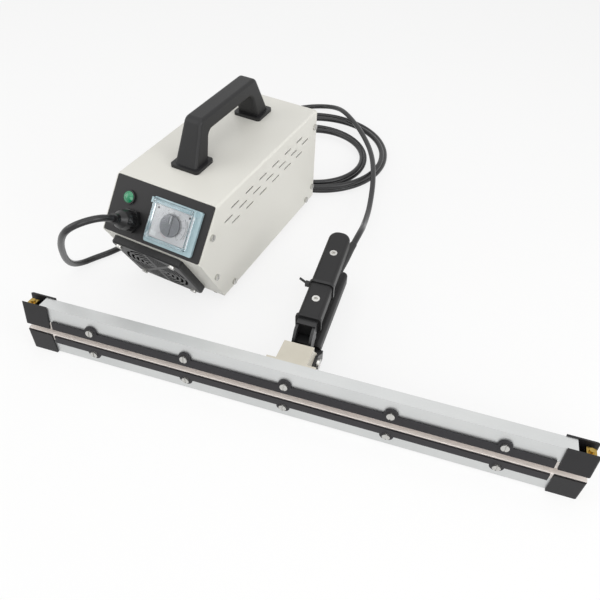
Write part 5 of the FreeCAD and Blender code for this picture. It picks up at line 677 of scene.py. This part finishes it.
drawn = add(tree, "GeometryNodeCurveToMesh", {"Fill Caps": True},
            {"Curve": joined.outputs[0], "Profile Curve": wire.outputs[0]})
smooth = add(tree, "GeometryNodeSetShadeSmooth", {}, {0: drawn.outputs[0]})
end_rule(tree, smooth.outputs[0], spring_steel)
sizes = {"Turns": SPRING_TURNS, "Radius": SPRING_RADIUS * MM, "Height": SPRING_HEIGHT * MM,
         "Wire": SPRING_WIRE * MM}
seat = Matrix.Translation(Vector(SPRING_SPOT) * MM)
spring = plain(run_rule("opening_spring", tree, sizes, seat), "base")
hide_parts("return_spring")
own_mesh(spring)

# %% [markdown]
# ## Dial
#
# The timer's card is printed with a scale round the knob: long and short ticks, generic numbers
# from 0 to 10 and a few thin arcs. The knob is moulded with fine ribs for the fingers and has a
# pale line on its ridge. The ticks and the ribs are one rule with different sizes: small bars
# set out on an arc, each turned to point at the middle.

# %% Dial ticks and knob ribs
TIMER_SPOT = (85.0, -36.3)
FACE_LEVEL = 3.6
KNOB_LEVEL = 5.0
RIDGE_LEVEL = 7.3
DIAL_SWEEP = math.radians(270.0)
MAJOR_TICKS = 11
MINOR_TICKS = 51
KNOB_RIBS = 48
SLOPE_X = Vector((1, 0, 0))
SLOPE_Y = Vector((0, 0.62396, 0.78146))
SLOPE_OUT = Vector((0, -0.78146, 0.62396))
SLOPE_START = Vector((-267.0, -37.5, 141.6))


def on_dial(height, x=0.0, y=0.0):
    """The dial's own frame, this high above the slope, with its middle at the knob's axis."""
    spot = SLOPE_START + SLOPE_X * (TIMER_SPOT[0] + x) + SLOPE_Y * (TIMER_SPOT[1] + y)
    return place(SLOPE_X, SLOPE_Y, SLOPE_OUT, spot + SLOPE_OUT * height)


tree, given = node_rule("bars_on_arc", ["Count", "Radius", "Sweep", "Length", "Width", "Height"])
first = add(tree, "ShaderNodeMath", {"operation": "MULTIPLY_ADD", 1: -0.5, 2: math.pi / 2},
            {0: given["Sweep"]})
arc = add(tree, "GeometryNodeCurveArc", {}, {
    "Resolution": given["Count"], "Radius": given["Radius"], "Start Angle": first.outputs[0],
    "Sweep Angle": given["Sweep"],
})
size = add(tree, "ShaderNodeCombineXYZ", {},
           {"X": given["Length"], "Y": given["Width"], "Z": given["Height"]})
bar = add(tree, "GeometryNodeMeshCube", {}, {"Size": size.outputs[0]})
spot = add(tree, "GeometryNodeInputPosition")
turn = add(tree, "FunctionNodeAlignRotationToVector", {"axis": "X"}, {"Vector": spot.outputs[0]})
bars = add(tree, "GeometryNodeInstanceOnPoints", {}, {
    "Points": arc.outputs[0], "Instance": bar.outputs[0], "Rotation": turn.outputs[0],
})
end_rule(tree, bars.outputs[0], dial_ink)
KNOB_SWEEP = 2 * math.pi * (1 - 1 / KNOB_RIBS)
# Name, body, slot, level, finish, count, sweep, and the radius and three sizes of the bars
BAR_SETS = [
    ("dial_long_ticks", "base", "timer_face", FACE_LEVEL, dial_ink, MAJOR_TICKS, DIAL_SWEEP,
     13.9, (1.9, 0.45, 0.12)),
    ("dial_short_ticks", "base", "timer_face", FACE_LEVEL, dial_ink, MINOR_TICKS, DIAL_SWEEP,
     13.5, (1.1, 0.2, 0.12)),
    ("knob_ribs", "timer_knob", "timer_knob", KNOB_LEVEL, knob_grey, KNOB_RIBS, KNOB_SWEEP,
     12.0, (0.5, 0.7, 1.9)),
]
for name, body, slot, rise, material, count, sweep, radius, (length, width, height) in BAR_SETS:
    sizes = {"Count": count, "Radius": radius * MM, "Sweep": sweep, "Length": length * MM,
             "Width": width * MM, "Height": height * MM}
    piece = plain(run_rule(name, tree, sizes, on_dial(rise)), body)
    piece.data.materials[0] = material

# %% Dial numbers
NUMBER_RADIUS = 16.4
NUMBER_SIZE = 2.3
PRINT_HEIGHT = 0.06
shape = bmesh.new()
for i in range(MAJOR_TICKS):
    angle = math.pi / 2 + DIAL_SWEEP / 2 - DIAL_SWEEP * i / (MAJOR_TICKS - 1)
    words = bpy.data.curves.new("number", "FONT")
    words.body = str(i)
    words.size = NUMBER_SIZE * MM
    words.extrude = PRINT_HEIGHT * MM
    words.align_x = "CENTER"
    words.align_y = "CENTER"
    draft = bpy.data.objects.new("number", words)
    draft.matrix_world = on_dial(FACE_LEVEL, NUMBER_RADIUS * math.cos(angle),
                                 NUMBER_RADIUS * math.sin(angle))
    scene.collection.objects.link(draft)
    shape.from_mesh(baked(draft))
plain(draft_from("dial_numbers", shape, Matrix(), dial_ink), "base")

# %% [markdown]
# ## Lines on the dial
#
# Thin printed arcs and the knob's pale line are curves with a small round section. Each is half
# sunk in what carries it, so that it reads as a line and not as a wire.

# %% Lines on the dial
GREY_ARCS = [(12.7, -45, 225), (18.9, -32, 38), (20.6, -26, 30)]  # radius, start and end angle
ROSE_ARC = (14.3, 228, 262)
ROSE_STEPS = 16
ARC_LINE = 0.5
KNOB_LINE = [(0, 2.0), (0, 10.2)]
KNOB_LINE_WIDTH = 0.6


def lines(name, body, matrix, routes, thick, material):
    """Several polylines, in millimetres, as one piece of round line."""
    curve = bpy.data.curves.new(name, "CURVE")
    curve.dimensions = "3D"
    curve.bevel_depth = thick / 2 * MM
    curve.bevel_resolution = 2
    curve.use_fill_caps = True
    for route in routes:
        spline = curve.splines.new("POLY")
        spline.points.add(len(route) - 1)
        for point, (x, y) in zip(spline.points, route):
            point.co = (x * MM, y * MM, 0.0, 1.0)
    curve.materials.append(material)
    draft = bpy.data.objects.new(name, curve)
    draft.matrix_world = matrix
    scene.collection.objects.link(draft)
    return plain(draft, body)


def arc_route(radius, start, end, steps=48):
    angles = [math.radians(start + (end - start) * i / steps) for i in range(steps + 1)]
    return [(radius * math.cos(angle), radius * math.sin(angle)) for angle in angles]


grey_arcs = [arc_route(*sizes) for sizes in GREY_ARCS]
rose_arc = arc_route(*ROSE_ARC, ROSE_STEPS)
lines("dial_arcs", "base", on_dial(FACE_LEVEL), grey_arcs, ARC_LINE, dial_ink)
lines("dial_rose_arc", "base", on_dial(FACE_LEVEL), [rose_arc], ARC_LINE, rose_ink)
lines("knob_line", "timer_knob", on_dial(RIDGE_LEVEL), [KNOB_LINE], KNOB_LINE_WIDTH,
      white_card)

# %% [markdown]
# ## Small parts of the dial
#
# Two dark pan-head screws hold the card at its upper corners, and a small white card with rounded
# corners sits at the lower left. The screws are lathed; the card is a rounded outline raised a
# little above the face.

# %% Small parts of the dial
SCREW_PROFILE = [(0.0, 0.0), (1.25, 0.0), (1.25, 0.25), (1.05, 0.48), (0.6, 0.6), (0.0, 0.62)]
SCREW_SPOTS = ((-20.0, 14.6), (20.0, 14.6))
SCREW_STEPS = 24
shape = bmesh.new()
for x, y in SCREW_SPOTS:
    lathe(shape, SCREW_PROFILE, SCREW_STEPS, (x, y, 0))
plain(draft_from("dial_screws", shape, on_dial(FACE_LEVEL), nylon), "base")

CARD_SPOT = (-18.6, -13.6)
CARD_HALF = (3.4, 2.6)
CARD_CORNER = 0.8
CARD_RISE = 0.25
CORNER_STEPS = 5
shape = bmesh.new()
rim = []
for turn, sx, sy in ((0, 1, 1), (1, -1, 1), (2, -1, -1), (3, 1, -1)):
    for i in range(CORNER_STEPS + 1):
        angle = (turn + i / CORNER_STEPS) * math.pi / 2
        x = sx * (CARD_HALF[0] - CARD_CORNER) + CARD_CORNER * math.cos(angle)
        y = sy * (CARD_HALF[1] - CARD_CORNER) + CARD_CORNER * math.sin(angle)
        rim.append(shape.verts.new(Vector((x, y, 0)) * MM))
sole = shape.faces.new(rim[::-1])
grown = bmesh.ops.extrude_face_region(shape, geom=[sole])
raised = [part for part in grown["geom"] if isinstance(part, bmesh.types.BMVert)]
bmesh.ops.translate(shape, verts=raised, vec=(0, 0, CARD_RISE * MM))
bmesh.ops.recalc_face_normals(shape, faces=shape.faces)
card = draft_from("dial_card", shape, on_dial(FACE_LEVEL, *CARD_SPOT), white_card)
plain(card, "base")

# %% [markdown]
# ## Floor and light
#
# A pale floor takes a soft shadow. The camera sees floor and sky nearly white, while the light
# that falls on the object is weaker: four softboxes, overhead, left, front and right, and the
# sky all round. Mirrored and refracted rays see the same white as the camera.

# %% Floor
FLOOR_HALF = 6.0
FLOOR_WHITE = 0.78
FLOOR_DROP = 0.0004


def seen_ray(tree):
    """One for a ray from the camera, a mirror or a clear piece, and nought for light."""
    path = add(tree, "ShaderNodeLightPath")
    seen = add(tree, "ShaderNodeMath", {"operation": "MAXIMUM"},
               {0: path.outputs["Is Camera Ray"], 1: path.outputs["Is Glossy Ray"]})
    seen = add(tree, "ShaderNodeMath", {"operation": "MAXIMUM"},
               {0: seen.outputs[0], 1: path.outputs["Is Transmission Ray"]})
    return seen.outputs[0]


verts = [(-FLOOR_HALF, -FLOOR_HALF, 0), (FLOOR_HALF, -FLOOR_HALF, 0),
         (FLOOR_HALF, FLOOR_HALF, 0), (-FLOOR_HALF, FLOOR_HALF, 0)]
ground = bpy.data.meshes.new("studio_floor")
ground.from_pydata(verts, [], [(0, 1, 2, 3)])
floor = bpy.data.objects.new("studio_floor", ground)
scene.collection.objects.link(floor)
floor.location.z = -FLOOR_DROP
floor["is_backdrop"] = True
paper, tree = blank("studio_paper")
matt = add(tree, "ShaderNodeBsdfDiffuse", {"Color": linear("F2F2F1")})
glow = add(tree, "ShaderNodeEmission", {"Color": linear("FFFFFF"), "Strength": 1.0})
share = add(tree, "ShaderNodeMath", {"operation": "MULTIPLY", 1: FLOOR_WHITE},
            {0: seen_ray(tree)})
mixed = add(tree, "ShaderNodeMixShader", {},
            {0: share.outputs[0], 1: matt.outputs[0], 2: glow.outputs[0]})
add(tree, "ShaderNodeOutputMaterial", {}, {"Surface": mixed.outputs[0]})
ground.materials.append(paper)
print("floor", 2 * FLOOR_HALF, "m wide")

# %% Sky and lamps
SKY_LIGHT = 0.48
sky = bpy.data.worlds.new("studio_sky")
scene.world = sky
sky.use_nodes = True
tree = sky.node_tree
bright = add(tree, "ShaderNodeMapRange", {"To Min": SKY_LIGHT, "To Max": 1.0},
             {"Value": seen_ray(tree)})
backdrop = tree.nodes["Background"]
backdrop.inputs["Color"].default_value = linear("FFFFFF")
tree.links.new(bright.outputs[0], backdrop.inputs["Strength"])

# Name, place and target in millimetres, width in metres and power in watts
LAMPS = [
    ("overhead_softbox", (-100, -100, 1300), (-60, -40, 0), 1.4, 5.0),
    ("left_softbox", (-1200, -700, 800), (-100, -60, 60), 1.0, 5.0),
    ("front_softbox", (500, -1300, 700), (-20, -100, 40), 1.0, 6.0),
    ("right_softbox", (1300, -200, 700), (-40, 0, 40), 1.0, 8.5),
]
for name, spot, target, size, power in LAMPS:
    lamp = bpy.data.lights.new(name, "AREA")
    lamp.size = size
    lamp.energy = power
    holder = bpy.data.objects.new(name, lamp)
    holder.location = Vector(spot) * MM
    aim = Vector(target) - Vector(spot)
    holder.rotation_euler = aim.to_track_quat("-Z", "Y").to_euler()
    scene.collection.objects.link(holder)
print("lamps", [row[0] for row in LAMPS])

# %% [markdown]
# ## Size
#
# The boxes of the solid model and of the dressed model are both printed. The dressed
# model has to stay in the solid model's box.

# %% Print the sizes
lowest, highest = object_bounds()
sizes = {
    "cad": [list(CAD_BOX[0]), list(CAD_BOX[1])],
    "visual": [list(lowest), list(highest)],
}
print("sizes", sizes)
